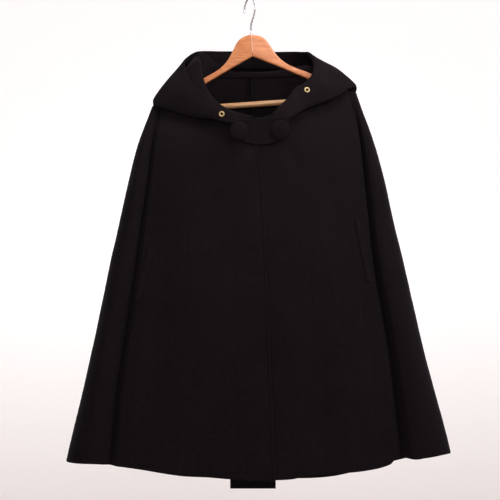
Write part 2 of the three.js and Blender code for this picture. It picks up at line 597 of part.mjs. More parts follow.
function slitWelt(slit) {
  const half = HALVES[slit.half];
  const grid = [WELT.wide, WELT.wide / 2, 0].map((across) => steps(0, 1, WELT.rows).map((t) => {
    const z = lerp(slit.top.z, slit.foot.z, t);
    return frontPoint(half, lerp(slit.top.x, slit.foot.x, t) + half.side * across, z);
  }));
  const normals = gridNormals(grid).map((column) => column.map((normal) => normal.multiplyScalar(half.side)));
  grid.forEach((column, i) => column.forEach((point, j) => {
    point.addScaledVector(normals[i][j], WELT.seat + WELT.thick);
  }));
  return wall(grid, normals, WELT.thick, half.side < 0);
}

function toSolid(geometry) {
  const bare = geometry.clone();
  bare.deleteAttribute('normal');
  bare.deleteAttribute('uv');
  const merged = mergeVertices(bare, 1e-4);
  return new wasm.Manifold(new wasm.Mesh({
    numProp: 3,
    vertProperties: Float32Array.from(merged.attributes.position.array),
    triVerts: Uint32Array.from(merged.index.array),
  }));
}

function fromSolid(solid) {
  const { vertProperties, triVerts } = solid.getMesh();
  const geometry = new THREE.BufferGeometry();
  geometry.setAttribute('position', new THREE.BufferAttribute(Float32Array.from(vertProperties), 3));
  geometry.setIndex(Array.from(triVerts));
  return geometry;
}

for (const slit of SLITS) {
  const half = HALVES[slit.half];
  addPiece(slit.name, slitWelt(slit), 'wool');
  const [top, foot] = [at(slit.top.x, 0, slit.top.z), at(slit.foot.x, 0, slit.foot.z)];
  const run = foot.clone().sub(top);
  const cutter = new THREE.BoxGeometry(WELT.slit, 60, run.length() - 2 * WELT.inset);
  cutter.rotateY(Math.atan2(-run.x, -run.z));
  const middle = top.clone().lerp(foot, 0.5);
  const level = frontPoint(half, middle.x + half.side * WELT.slitAt, middle.z);
  cutter.translate(level.x, level.y, level.z);
  const panel = cape.getObjectByName(`front_${slit.half}`);
  panel.geometry = fromSolid(toSolid(panel.geometry).subtract(toSolid(cutter)));
}

// Neck tab, a half moon of doubled cloth held by two covered buttons
function tabShape() {
  const shape = new THREE.Shape();
  const corner = 5;
  shape.moveTo(-TAB.half + corner, 0);
  shape.lineTo(TAB.half - corner, 0);
  for (const angle of steps(0.12, Math.PI - 0.12, 18)) {
    const x = TAB.half * Math.sign(Math.cos(angle)) * Math.abs(Math.cos(angle)) ** TAB.power;
    shape.lineTo(x, -TAB.high * Math.sin(angle) ** TAB.power);
  }
  shape.closePath();
  return shape;
}

const fastening = new THREE.Group();
fastening.position.set(TAB.x, TAB.y, TAB.z);
fastening.rotation.set(0, -TILT, 0);
const leaning = new THREE.Group();
leaning.rotation.set(TAB.lean, 0, 0);
fastening.add(leaning);
cape.add(fastening);

const tabGeometry = new THREE.ExtrudeGeometry(tabShape(), {
  depth: TAB.thick - 2 * TAB.bevel, bevelEnabled: true, bevelThickness: TAB.bevel, bevelSize: TAB.bevel,
  bevelOffset: -TAB.bevel, bevelSegments: 1,
});
tabGeometry.rotateX(Math.PI / 2);
tabGeometry.translate(0, -TAB.bevel, 0);
const tab = new THREE.Mesh(tabGeometry, FINISH.wool.clone());
tab.name = 'neck_tab';
leaning.add(tab);

function buttonShape(radius) {
  const crown = steps(0, Math.PI / 2, 5).map((angle) => new THREE.Vector2(
    radius * Math.sin(angle),
    BUTTON.edge + BUTTON.dome * Math.cos(angle),
  ));
  const profile = [...crown, new THREE.Vector2(radius - 1.5, BUTTON.back / 2), new THREE.Vector2(0, 0)];
  return new THREE.LatheGeometry(profile.reverse(), 28);
}

for (const { name, x, z, r } of BUTTONS) {
  const local = at(x - TAB.x, 0, z - TAB.z).applyAxisAngle(at(0, 1, 0), TILT);
  const button = new THREE.Mesh(buttonShape(r), FINISH.wool.clone());
  button.name = name;
  button.rotation.set(Math.PI, 0, 0);
  button.position.set(local.x, -TAB.thick - BUTTON.seat, local.z);
  leaning.add(button);
}

// Eyelets for the hood's cord, seated on the outer layer near the face edge
for (const { name, half, along, place } of EYELETS) {
  const profile = [
    [EYELET.hole, 0], [EYELET.outer, 0], [EYELET.outer, EYELET.rise * 0.4],
    [(EYELET.hole + EYELET.outer) / 2, EYELET.rise], [EYELET.hole, EYELET.rise * 0.5], [EYELET.hole, 0],
  ].map(([radius, rise]) => new THREE.Vector2(radius, rise));
  const eyelet = addPiece(name, new THREE.LatheGeometry(profile, 20), 'brass');
  const spot = hoodPoint(half, along, place);
  const round = hoodPoint(half, along + 0.03, place).sub(hoodPoint(half, along - 0.03, place));
  const rise = hoodPoint(half, along, place + 0.2).sub(hoodPoint(half, along, place - 0.2));
  const normal = round.cross(rise).multiplyScalar(HALVES[half].side).normalize();
  eyelet.position.copy(spot).addScaledVector(normal, EYELET.seat);
  eyelet.quaternion.setFromUnitVectors(at(0, 1, 0), normal);
}

// Hanger arms, their outlines bent back from the joint
function armGeometry(side) {
  const shape = new THREE.Shape([...ARM_TOP, ...ARM_UNDER].map(({ out, top }) => new THREE.Vector2(out, top)));
  const geometry = new THREE.ExtrudeGeometry(shape, {
    depth: ARM_THICK - 2 * ARM_BEVEL, bevelEnabled: true, bevelThickness: ARM_BEVEL, bevelSize: ARM_BEVEL,
    bevelOffset: -ARM_BEVEL, bevelSegments: 1,
  });
  const places = geometry.attributes.position;
  for (let k = 0; k < places.count; k += 1) {
    const point = onHanger(places.getX(k), places.getY(k), side);
    point.y -= side * (places.getZ(k) - ARM_THICK / 2 + ARM_BEVEL);
    places.setXYZ(k, point.x, point.y, point.z);
  }
  return geometry;
}
addPiece('hanger_arm_right', armGeometry(-1), 'wood');
addPiece('hanger_arm_left', armGeometry(1), 'wood');

const bar = addPiece('hanger_bar', new THREE.CylinderGeometry(BAR.radius, BAR.radius, 2 * BAR.end, BAR.sides), 'wood');
bar.rotation.set(0, -TILT, Math.PI / 2, 'YXZ');
bar.position.copy(onHanger(0, BAR.up, 1));
bar.position.y = BAR.end * SWEEP;

// Hook: a stem that swings out and runs over the top in one round bend
function hookPath() {
  const centre = HOOK.wire - HOOK.radius;
  const plan = [
    [0, HOOK.foot], [0, -59], [2.5, -51], [10.5, -42.5], [18, -34],
    ...steps(-12, 188, 10).map((degrees) => {
      const angle = THREE.MathUtils.degToRad(degrees);
      return [HOOK.radius * Math.cos(angle), centre + HOOK.radius * Math.sin(angle)];
    }),
  ];
  const points = plan.map(([out, z]) => at(
    out * Math.cos(HOOK.turn) + HOOK.stemX * smooth((-40 - z) / 20),
    -out * Math.sin(HOOK.turn),
    z,
  ));
  return new THREE.CatmullRomCurve3(points, false, 'centripetal');
}

const section = new THREE.Shape();
section.absarc(0, 0, HOOK.wire, 0, 2 * Math.PI);
addPiece('hanger_hook', new THREE.ExtrudeGeometry(section, {
  steps: 44, curveSegments: 4, bevelEnabled: false, extrudePath: hookPath(),
}), 'steel');

export default cape;
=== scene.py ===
# Hooded wool cape on a wooden hanger: the cloth as thin shells on the cut of each panel, with its
# creases, seams and nap, and the wood, brass and wire of what holds it.
import math

import bpy
import numpy as np
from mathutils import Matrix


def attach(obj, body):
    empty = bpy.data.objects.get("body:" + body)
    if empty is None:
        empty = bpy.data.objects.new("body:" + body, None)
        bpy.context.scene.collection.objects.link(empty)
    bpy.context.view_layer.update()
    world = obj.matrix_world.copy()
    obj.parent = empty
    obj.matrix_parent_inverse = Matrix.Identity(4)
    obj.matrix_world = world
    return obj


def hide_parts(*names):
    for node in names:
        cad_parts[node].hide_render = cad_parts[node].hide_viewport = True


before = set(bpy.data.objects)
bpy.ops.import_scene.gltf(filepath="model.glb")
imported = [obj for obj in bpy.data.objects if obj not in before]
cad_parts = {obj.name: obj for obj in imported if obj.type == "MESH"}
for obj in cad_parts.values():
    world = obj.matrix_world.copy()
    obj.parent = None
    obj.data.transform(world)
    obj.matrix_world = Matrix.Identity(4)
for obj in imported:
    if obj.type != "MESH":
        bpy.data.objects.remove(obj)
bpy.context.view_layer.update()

# All sizes below are in millimetres, and a piece is scaled to metres when it is made
CLOTH = 2.0
SEAM_GAP = 0.3
REST_GAP = 0.4
FRONT_LAP = 54
LAP_STEP = 3.2
VALLEY_DIP = 9
SIDE_STEP = 2.4
JOINT = np.array([4.6, 0.0, -88.3])
TILT = math.radians(4)
SWEEP = math.tan(math.radians(8))
ARM_THICK = 12
BAR = {"up": -109.5, "end": 153.7, "radius": 5.4}
HOOK = {"wire": 1.7, "radius": 22.5, "turn": math.radians(63.6), "stem": 2.5, "foot": -66.6}
DOME_AT = 180
DOME_DROP = 8
DOME_DEPTH = ARM_THICK / 2 + REST_GAP + 0.8 + CLOTH
SHOULDER_RISE = 1.8 + CLOTH
BASE_Z = -262
NECK = {"frontZ": -236, "backZ": -147, "frontY": -45, "backY": 34, "power": 2.2}
PLEAT = {"right": 37.5, "left": 50.5, "top": -330, "hem": -941, "seam": 5, "grow": 110, "start": -215}
BACK_SEAM_ANGLE = math.radians(62)
RETURN_TURN = CLOTH + 0.3
CORNER = 0.004
OVER_ARM = 0.06
HOOD_SEAM = {"up": 0.9, "across": 2.4, "back": 0.6}
HOOD_RISE = {"chest": 5, "ridge": 9}
STAND_LEAN = 9


def table(names, *rows):
    """Rows of sizes under named columns."""
    return dict(zip(names.split(), np.array(rows, float).T))


ARM_TOP = table(
    "out top",
    (0.2, 21), (15, 17.5), (27, 10), (36, -5), (47, -23), (66, -40), (107, -59), (150, -80),
    (174, -95), (186, -107),
)
ARM_UNDER = table(
    "out low",
    (0.2, -21), (44, -41), (107, -72), (152, -100), (154.5, -116), (158, -119), (174, -119),
    (184, -112), (186, -108),
)
SECTIONS = table(
    "z edge valleyR sideR valleyL sideL front rim crest mid back spine",
    (-241, 14, -183, -204, 206, 229, -47, -12, -15, 22, 44, 38),
    (-317, 21, -189.5, -225, 212, 251.5, -53, -22, -27, 18, 50, 42),
    (-420, 28, -203, -247.5, 221, 274, -58, -32, -37, 14, 56, 47),
    (-522, 32.5, -216.5, -270, 231, 298.5, -62, -38, -44, 10, 60, 52),
    (-625, 37, -231.5, -290.5, 250, 321, -65, -42, -49, 7, 64, 56),
    (-728, 41.5, -247.5, -313, 263.5, 347, -68, -45, -53, 4, 67, 60),
    (-830, 46, -257, -337.5, 272.5, 375, -70, -47, -56, 2, 70, 63),
    (-935, 49, -268, -362, 280, 396.5, -72, -49, -58, 0, 72, 66),
)
HEM = table(
    "ring right left",
    (0, -905.5, -904), (0.28, -901, -902), (0.4, -898, -896), (0.56, -895.4, -892),
    (0.82, -885, -886), (0.95, -880.5, -877), (1, -879, -866), (1.3, -875.5, -867),
    (1.62, -875.5, -860), (2, -882, -872), (2.4, -906, -907), (2.58, -911, -918.5), (3, -921, -921),
)
BACK_FLUTES = ((0.3, 0.2, 9), (0.68, 0.17, -8))
HOOD_COLUMNS = "neck ex ey ez fx fy fz stand roll puff"
HOOD = {
    "right": table(
        HOOD_COLUMNS,
        (0.05, -4, -53, -231, -20, -54, -244, 5.5, 2.8, 0),
        (0.16, -18, -53, -225.5, -50, -53, -238, 8, 3.2, 1),
        (0.3, -51.5, -50, -209, -72, -48, -231, 9, 4, 2),
        (0.47, -83.5, -41, -190, -104, -36, -228, 9, 4.5, 3),
        (0.68, -112, -25, -162, -151, -13, -212, 12, 5, 5),
        (0.9, -121, -7, -141, -175, 3, -203, 26, 3.5, 4),
        (1.12, -128, 15, -119.5, -187.5, 30, -194.5, 46, 3, 4),
        (1.3, -119, 42, -102.5, -174, 62, -232, 45, 9, 9),
        (1.5, -102, 62, -92, -140, 80, -292, 30, 12, 11),
        (1.75, -54, 78, -90, -78, 89, -346, 13, 15, 13),
        (2, 4.6, 84, -90, 5, 92, -370, 9, 16, 14),
    ),
    "left": table(
        HOOD_COLUMNS,
        (0.05, 36, -53, -232, 50, -54, -243, 5.5, 2.8, 0),
        (0.16, 49, -53, -216, 75, -53, -231, 8, 3.2, 1),
        (0.3, 70, -45, -196, 91, -46, -221.5, 9, 4, 2),
        (0.47, 87, -32, -172, 107, -38, -211, 9, 4.5, 3),
        (0.68, 104, -27, -163, 139, -27, -198, 10, 4.5, 5),
        (0.9, 120.5, -14, -142.5, 166, -14, -185.5, 9, 4, 7),
        (1.1, 124, 6, -120, 195.5, 13, -165, 8, 3, 7),
        (1.25, 115, 32, -96.5, 207, 42, -168.5, 16, 3.4, 5),
        (1.45, 101, 61, -92, 172, 76, -240, 18, 10, 10),
        (1.75, 56, 78, -91, 88, 89, -330, 12, 15, 13),
        (2, 4.6, 84, -90, 5, 92, -370, 9, 16, 14),
    ),
}
FACING = {"wide": 32, "gap": 1.0, "thick": 1.4, "proud": 2.2, "from": 0.12}
TAB = {"x": 21, "y": -58.4, "z": -231, "half": 54, "high": 50, "thick": 3.6, "lean": 0.17, "power": 0.87}
BUTTONS = {"button_right": (-20, -254.5, 17), "button_left": (57.4, -253.5, 18)}
BUTTON = {"dome": 5.5, "edge": 2.2, "back": 0.8, "seat": 0.4}
SLITS = {
    "slit_welt_right": ("right", (-178.6, -473), (-203.8, -574)),
    "slit_welt_left": ("left", (196, -420), (219, -537)),
}
WELT = {"wide": 11, "thick": 1.1, "seat": 0.45}


class Half:
    """One half of the garment, named for the wearer's side."""

    def __init__(self, name, side, neck, dome_wide, lap, dip, step, drop):
        self.name, self.side, self.neck, self.dome_wide, self.lap = name, side, neck, dome_wide, lap
        self.dip, self.step, self.drop = dip, step, drop
        letter = name[0].upper()
        self.valley, self.outline = "valley" + letter, "side" + letter


RIGHT = Half("right", -1, 103, 22, 0, VALLEY_DIP, 0, 0)
LEFT = Half("left", 1, 115, 16, FRONT_LAP, 0, SIDE_STEP, LAP_STEP)
HALVES = {"right": RIGHT, "left": LEFT}


def lerp(low, high, share):
    return low + (high - low) * share


def smooth(value):
    value = np.clip(value, 0, 1)
    return value * value * (3 - 2 * value)


def closing(share, power):
    """Steps that get shorter where the neckline climbs to the shoulder."""
    return 1 - (1 - share) ** power


def unit(vectors):
    return vectors / np.maximum(np.linalg.norm(vectors, axis=-1, keepdims=True), 1e-9)


def point(x, y, z):
    return np.stack(np.broadcast_arrays(x, y, z), -1).astype(float)


def read(rows, key, name, where):
    """One column of a table at any place between its rows, on a smooth curve."""
    keys, values = rows[key], rows[name]
    sign = 1 if keys[1] > keys[0] else -1
    ahead, behind = np.r_[1:len(keys), len(keys) - 1], np.r_[0, 0:len(keys) - 1]
    slope = (values[ahead] - values[behind]) / (keys[ahead] - keys[behind])
    where = np.asarray(where, float)
    low = np.clip(np.searchsorted(sign * keys, sign * where) - 1, 0, len(keys) - 2)
    span = keys[low + 1] - keys[low]
    t = np.clip((where - keys[low]) / span, 0, 1)
    rise = (1 + 2 * t) * (1 - t) ** 2 * values[low] + t * t * (3 - 2 * t) * values[low + 1]
    return rise + (t * (1 - t) ** 2 * slope[low] + t * t * (t - 1) * slope[low + 1]) * span


def on_hanger(out, up, side):
    """A place on the hanger's middle plane, out along one arm and up from its centre line."""
    along = side * out
    return point(
        JOINT[0] + along * math.cos(TILT) - up * math.sin(TILT),
        out * SWEEP,
        JOINT[2] + along * math.sin(TILT) + up * math.cos(TILT),
    )


def shoulder(out, side):
    """The cloth's highest line along one arm."""
    line = on_hanger(np.asarray(out, float), read(ARM_TOP, "out", "top", out), side)
    return line + (0, 0, SHOULDER_RISE)


def top_edge(half, across, is_front):
    """The neckline, then the shoulder line, of a front or back panel."""
    neck_side, tip = shoulder(half.neck, half.side), shoulder(DOME_AT, half.side)
    edge = read(SECTIONS, "z", "edge", BASE_Z)
    start = edge - half.lap if is_front else half.side * SEAM_GAP
    x = lerp(start, tip[0], across)
    out = lerp(half.neck, DOME_AT, np.clip((x - neck_side[0]) / (tip[0] - neck_side[0]), 0, 1))
    centre = edge if is_front else start
    t = np.clip((x - centre) / (neck_side[0] - centre), 0, 1)
    low = NECK["frontZ"] if is_front else NECK["backZ"]
    level = NECK["frontY"] + half.drop if is_front else NECK["backY"]
    face = neck_side[1] + (-1 if is_front else 1) * DOME_DEPTH
    z = neck_side[2] - (neck_side[2] - low) * (1 - t ** NECK["power"]) ** 0.6
    neckline = point(x, lerp(level, face, t ** 3), z)
    if is_front and half.lap > 0:
        cover, _ = top_edge(RIGHT, (edge - x) / (edge - shoulder(DOME_AT, -1)[0]), True)
        under = point(x, cover[..., 1] + half.drop, cover[..., 2] - 1)
        neckline = np.where((x < edge)[..., None], under, neckline)
    beyond = (x - neck_side[0]) * half.side > 0
    return np.where(beyond[..., None], shoulder(out, half.side), neckline), beyond * 1.0


def neck_ring(half, is_front):
    """The share of a panel's top edge at which the neckline meets the shoulder."""
    start = read(SECTIONS, "z", "edge", BASE_Z) - half.lap if is_front else half.side * SEAM_GAP
    return (shoulder(half.neck, half.side)[0] - start) / (shoulder(DOME_AT, half.side)[0] - start)


def section_point(half, ring, z):
    """A point of the body's section at one height, by its place round the ring."""
    ring, z = np.broadcast_arrays(np.asarray(ring, float), np.asarray(z, float))
    at_z = {name: read(SECTIONS, "z", name, z) for name in SECTIONS if name != "z"}
    valley, outline = at_z[half.valley], at_z[half.outline]
    crest_x = lerp(valley, outline, 0.45)
    seam_x = crest_x + half.side * np.abs(outline - crest_x) * math.cos(BACK_SEAM_ANGLE)
    seam_y = at_z["mid"] + (at_z["back"] - at_z["mid"]) * math.sin(BACK_SEAM_ANGLE)
    fall = np.clip((-z - 300) / 600, 0, 1)

    edge = at_z["edge"]
    front_x = lerp(edge - half.lap, valley, np.minimum(ring, 1))
    t = (front_x - edge) / (valley - edge)
    front_y = lerp(at_z["front"] + half.drop, at_z["rim"], t ** 2)
    front_y = front_y - 5 * fall * np.sin(math.pi * np.clip((t - 0.35) / 0.5, 0, 1)) ** 2
    front_y = front_y + half.dip * smooth((t - 0.955) / 0.045)
    if half.lap > 0:
        cover = section_point(RIGHT, (edge - front_x) / (edge - at_z["valleyR"]), z)
        front_y = np.where(front_x < edge, cover[..., 1] + half.drop, front_y)

    t = np.clip((ring - 1) / 0.4, 0, 1)
    if half.dip > 0:
        bell = np.exp(-((t / 0.2) ** 2))
    else:
        tuck = half.step / VALLEY_DIP
        bell = tuck + (1.25 - tuck) * smooth(t / 0.16) - 1.25 * smooth((t - 0.16) / 0.46)
    side_y = lerp(at_z["rim"], at_z["crest"], smooth(t)) + VALLEY_DIP * np.maximum(0, bell)

    angle = lerp(-math.pi / 2, BACK_SEAM_ANGLE, np.clip((ring - 1.4) / 0.6, 0, 1))
    reach = np.where(angle < 0, at_z["mid"] - at_z["crest"], at_z["back"] - at_z["mid"])
    round_x, round_y = crest_x + (outline - crest_x) * np.cos(angle), at_z["mid"] + reach * np.sin(angle)

    t = np.clip(ring - 2, 0, 1)
    settle = lerp(at_z["back"], at_z["spine"], smooth((t - 0.15) / 0.85))
    flutes = sum(deep * np.exp(-(((t - place) / wide) ** 2) * 2.5) for place, wide, deep in BACK_FLUTES)
    back_y = lerp(settle, seam_y, np.exp(-t / 0.05)) + flutes * fall

    parts = [ring <= 1, ring <= 1.4, ring <= 2]
    x = np.select(parts, [front_x, lerp(valley, crest_x, np.clip((ring - 1) / 0.4, 0, 1)), round_x],
                  lerp(seam_x, half.side * SEAM_GAP, t))
    return point(x, np.select(parts, [front_y, side_y, round_y], back_y), z)


# Rows from the top edge down: the drop over the arm, the share of the shoulder and of the body
DROPS = np.array([0, 0.25, 0.7, 1.4, 2.4, 3.8, 5.6, 8])
SHARES = np.linspace(0, 1, 19)[1:]
DOWNS = np.linspace(0, 1, 131)[1:]
ROW_DROP = np.r_[DROPS, np.full(len(SHARES) + len(DOWNS), DOME_DROP)]
ROW_SHARE = np.r_[np.zeros(len(DROPS)), SHARES, np.ones(len(DOWNS))]
ROW_DOWN = np.r_[np.zeros(len(DROPS) + len(SHARES)), DOWNS]


def body_grid(half, rings, drops=ROW_DROP, shares=ROW_SHARE, downs=ROW_DOWN):
    """The body's surface over these rings, from the top edge down to the hem."""
    ring = np.asarray(rings, float)[:, None]
    is_front, is_back = ring <= 1, ring >= 2
    capped = ~(is_front | is_back)
    fronts, front_roll = top_edge(half, np.clip(ring, 0, 1), True)
    backs, back_roll = top_edge(half, np.clip(3 - ring, 0, 1), False)
    tip = shoulder(DOME_AT, half.side)
    top = np.where(is_front[..., None], fronts, np.where(is_back[..., None], backs, tip))
    roll = np.where(is_front, front_roll, np.where(is_back, back_roll, 1))
    swing = math.pi * (np.clip(ring - 1, 0, 1) - 0.5)
    drop = np.where(capped & (drops < 0.3), 0.3, drops[None, :])
    round_off = np.sqrt(1 - (1 - drop / DOME_DROP) ** 2)
    start = point(
        top[..., 0] + half.side * half.dome_wide * np.cos(swing) * round_off * capped,
        top[..., 1] + DOME_DEPTH * np.sin(swing) * round_off * roll,
        top[..., 2] - drop,
    )
    base = section_point(half, ring, np.full(ring.shape, BASE_Z))
    share = shares[None, :]
    ease = np.where(capped, share, lerp(share, smooth(share), 0.6))
    sloping = point(
        lerp(start[..., 0], base[..., 0], share),
        lerp(start[..., 1], base[..., 1], ease),
        lerp(start[..., 2], BASE_Z, share),
    )
    foot = read(HEM, "ring", half.name, ring)
    hanging = section_point(half, ring, lerp(BASE_Z, foot, downs[None, :]))
    return np.where((downs > 0)[None, :, None], hanging, sloping)


def settled(grid, passes=60):
    """Softens the bends between a panel's rows below its top edge."""
    grid = grid.copy()
    first = len(DROPS) - 2
    for _ in range(passes):
        grid[:, first:-1] += 0.5 * ((grid[:, first - 1:-2] + grid[:, first + 1:]) / 2 - grid[:, first:-1])
    return grid


def normals_of(grid, sign):
    """Outward normals of a grid of points."""
    across = np.empty_like(grid)
    across[1:-1] = grid[2:] - grid[:-2]
    across[0], across[-1] = grid[1] - grid[0], grid[-1] - grid[-2]
    down = np.empty_like(grid)
    down[:, 1:-1] = grid[:, 2:] - grid[:, :-2]
    down[:, 0], down[:, -1] = grid[:, 1] - grid[:, 0], grid[:, -1] - grid[:, -2]
    return unit(np.cross(across, down)) * sign


# Rows close inside an edge, as how far in they lie and how far the cloth's two faces draw in there
EDGE_ROWS = ((0.3, 0.2), (0.9, 0.06))
CUT_EDGE = 0.4
SEAM_EDGE = 0.12


def with_edges(sheet, seams):
    """Adds close rows inside all four edges, and says how far the faces draw in at each point."""
    draws = []
    for axis in range(2):
        first, last = (SEAM_EDGE if seam else CUT_EDGE for seam in seams[2 * axis:2 * axis + 2])
        rows, draw = [sheet[0]], [first]
        for starts, outer, inner, edge in ((True, sheet[0], sheet[1], first), (False, sheet[-1], sheet[-2], last)):
            span = np.maximum(np.linalg.norm((inner - outer)[..., :3], axis=-1, keepdims=True), 1e-6)
            close = [outer + (inner - outer) * np.minimum(away / span, 0.8) for away, _ in EDGE_ROWS]
            soft = [edge * share / CUT_EDGE for _, share in EDGE_ROWS]
            if starts:
                rows += close + list(sheet[1:-1])
                draw += soft + [0.0] * (len(sheet) - 2)
            else:
                rows += close[::-1] + [sheet[-1]]
                draw += soft[::-1] + [last]
        sheet = np.swapaxes(np.array(rows), 0, 1)
        draws.append(np.array(draw))
    return sheet, np.maximum(draws[0][:, None], draws[1][None, :])


def grid_quads(nu, nv):
    index = np.arange(nu * nv).reshape(nu, nv)
    return np.stack([index[:-1, :-1], index[1:, :-1], index[1:, 1:], index[:-1, 1:]], -1).reshape(-1, 4)


def two_faced(nu, nv):
    """Faces of a closed sheet: its outer grid, its inner grid after it and the rim between them."""
    faces, size = grid_quads(nu, nv), nu * nv
    index = np.arange(size).reshape(nu, nv)
    loop = np.r_[index[:, 0], index[-1, 1:], index[-2::-1, -1], index[0, -2:0:-1]]
    after = np.roll(loop, -1)
    rim = np.stack([loop, loop + size, after + size, after], -1)
    return np.r_[faces, faces[:, ::-1] + size, rim]


def ring_quads(nu, nv):
    """Numbers of the points on nu rings of nv points, and the faces from each ring to the next."""
    index = np.arange(nu * nv).reshape(nu, nv)
    ahead = np.roll(index, -1, axis=1)
    return index, np.stack([index[:-1], ahead[:-1], ahead[1:], index[1:]], -1).reshape(-1, 4)


def capped_rings(nu, nv):
    """The faces of rings in a row, with the first and the last ring filled in."""
    index, quads = ring_quads(nu, nv)
    for ring, turn_over in ((index[0], True), (index[-1], False)):
        cap = np.array([(ring[k], ring[k + 1], ring[-k - 2], ring[-k - 1]) for k in range(nv // 2 - 1)])
        quads = np.r_[quads, cap[:, ::-1] if turn_over else cap]
    return quads


def wall(grid, sign, thick, normals=None, seams=(False, False, False, False)):
    """A closed cloth wall whose outer face is the grid. Seams are its first and last columns and rows."""
    if normals is None:
        normals = normals_of(grid, sign)
    sheet, draw = with_edges(np.concatenate([grid, normals], axis=-1), seams)
    grid, normals = sheet[..., :3], unit(sheet[..., 3:])
    depth = (thick * draw)[..., None]
    outer, inner = grid - normals * depth, grid - normals * (thick - depth)
    quads = two_faced(*draw.shape)
    if sign < 0:
        quads = quads[:, ::-1]
    return np.r_[outer.reshape(-1, 3), inner.reshape(-1, 3)], quads


# Materials
class Socket:
    """A shader value that Python's own operators work on."""

    def __init__(self, tree, socket, is_vector=False):
        self.tree, self.socket, self.is_vector = tree, socket, is_vector

    def _math(self, operation, first, second=None):
        vector = any(isinstance(v, Socket) and v.is_vector for v in (first, second))
        kind = "ShaderNodeVectorMath" if vector else "ShaderNodeMath"
        values = {0: first} if second is None else {0: first, 1: second}
        return self.tree.node(kind, {"operation": operation}, values, vector=vector)

    def __add__(self, other):
        return self._math("ADD", self, other)

    def __radd__(self, other):
        return self._math("ADD", other, self)

    def __sub__(self, other):
        return self._math("SUBTRACT", self, other)

    def __rsub__(self, other):
        return self._math("SUBTRACT", other, self)

    def __mul__(self, other):
        return self._math("MULTIPLY", self, other)

    def __rmul__(self, other):
        return self._math("MULTIPLY", other, self)

    def __pow__(self, other):
        return self._math("POWER", self, other)


class Finish:
    """One material, built from a Principled shader."""

    def __init__(self, name):
        self.material = bpy.data.materials.new(name)
        self.material.use_nodes = True
        self.nodes, self.links = self.material.node_tree.nodes, self.material.node_tree.links
        self.shader = next(n for n in self.nodes if n.type == "BSDF_PRINCIPLED")
        self.place = self.node("ShaderNodeTexCoord", out="Object", vector=True)

    def node(self, kind, settings=(), values=(), out=0, vector=False):
        made = self.nodes.new(kind)
        for name, value in dict(settings).items():
            if name == "stops":
                self._stops(made.color_ramp, value)
            else:
                setattr(made, name, value)
        for name, value in dict(values).items():
            self.put(made.inputs[name], value)
        return Socket(self, made.outputs[out], vector)

    @staticmethod
    def _stops(ramp, stops):
        while len(ramp.elements) < len(stops):
            ramp.elements.new(0.5)
        for element, (place, value) in zip(ramp.elements, stops):
            element.position = place
            element.color = value if len(value) == 4 else (*value, 1)

    def put(self, target, value):
        if isinstance(value, Socket):
            self.links.new(value.socket, target)
        elif hasattr(value, "__len__") and len(value) == 3 and len(target.default_value) == 4:
            target.default_value = (*value, 1)
        elif hasattr(target.default_value, "__len__") and not hasattr(value, "__len__"):
            target.default_value = (value,) * len(target.default_value)
        else:
            target.default_value = value

    def set(self, **values):
        for name, value in values.items():
            self.put(self.shader.inputs[name.replace("_", " ")], value)

    def noise(self, scale, place=None, detail=3.0, rough=0.6, kind="FBM"):
        return self.node("ShaderNodeTexNoise", {"noise_type": kind}, {
            "Vector": place or self.place, "Scale": scale, "Detail": detail, "Roughness": rough}, out="Fac")

    def stretched(self, x, y, z, turn=(0, 0, 0)):
        return self.node("ShaderNodeMapping", {}, {"Vector": self.place, "Rotation": turn, "Scale": (x, y, z)},
                         vector=True)

    def mix(self, share, low, high):
        """One colour fading into another; a Mix node's colour sockets are its inputs 6 and 7."""
        made = self.nodes.new("ShaderNodeMix")
        made.data_type = "RGBA"
        self.put(made.inputs["Factor"], share)
        self.put(made.inputs[6], low)
        self.put(made.inputs[7], high)
        return Socket(self, made.outputs[2])

    def between(self, value, low, high):
        """0 below low, 1 above high and even in between."""
        return self.node("ShaderNodeMapRange", {"clamp": True}, {
            "Value": value, "From Min": low, "From Max": high})

    def bump(self, height, distance, strength=1.0, below=None):
        values = {"Height": height, "Distance": distance, "Strength": strength}
        if below is not None:
            values["Normal"] = below
        return self.node("ShaderNodeBump", {}, values, vector=True)


def wool_melton(name, painted_light_gain=1.0):
    """Thick black wool, milled and brushed, so that only a short nap shows."""
    cloth = Finish(name)
    nap = cloth.noise(1500, detail=2, rough=0.7)
    fibres = cloth.noise(420, cloth.stretched(1, 1, 0.35), detail=4, rough=0.75)
    felted = cloth.noise(90, detail=3)
    clouds = cloth.noise(9, detail=2)
    # A gain above 1 makes a copy of this wool lighter in all its colours, as painted light.
    deep = tuple(painted_light_gain * v for v in (0.0021, 0.0013, 0.0016))
    pale = tuple(painted_light_gain * v for v in (0.0098, 0.0064, 0.0079))
    body = cloth.mix(cloth.between(fibres * 0.55 + nap * 0.45, 0.36, 0.66), deep, pale)
    flecks = cloth.between(nap * fibres, 0.40, 0.50)
    lint = cloth.mix(flecks * 0.28, body, tuple(painted_light_gain * v for v in (0.026, 0.020, 0.024)))
    shade = cloth.mix(cloth.between(clouds + felted * 0.35, 0.45, 0.95) * 0.35, lint, deep)
    weaving = cloth.bump(felted, 0.0006, 0.5)
    napped = cloth.bump(fibres * 0.6 + nap * 0.4, 0.0004, 0.7, below=weaving)
    cloth.set(Base_Color=shade, Roughness=0.86 + fibres * 0.12, Normal=napped)
    cloth.set(Specular_IOR_Level=0.06, Sheen_Weight=0.016, Sheen_Roughness=0.4, Sheen_Tint=(0.86, 0.76, 0.9))
    return cloth.material


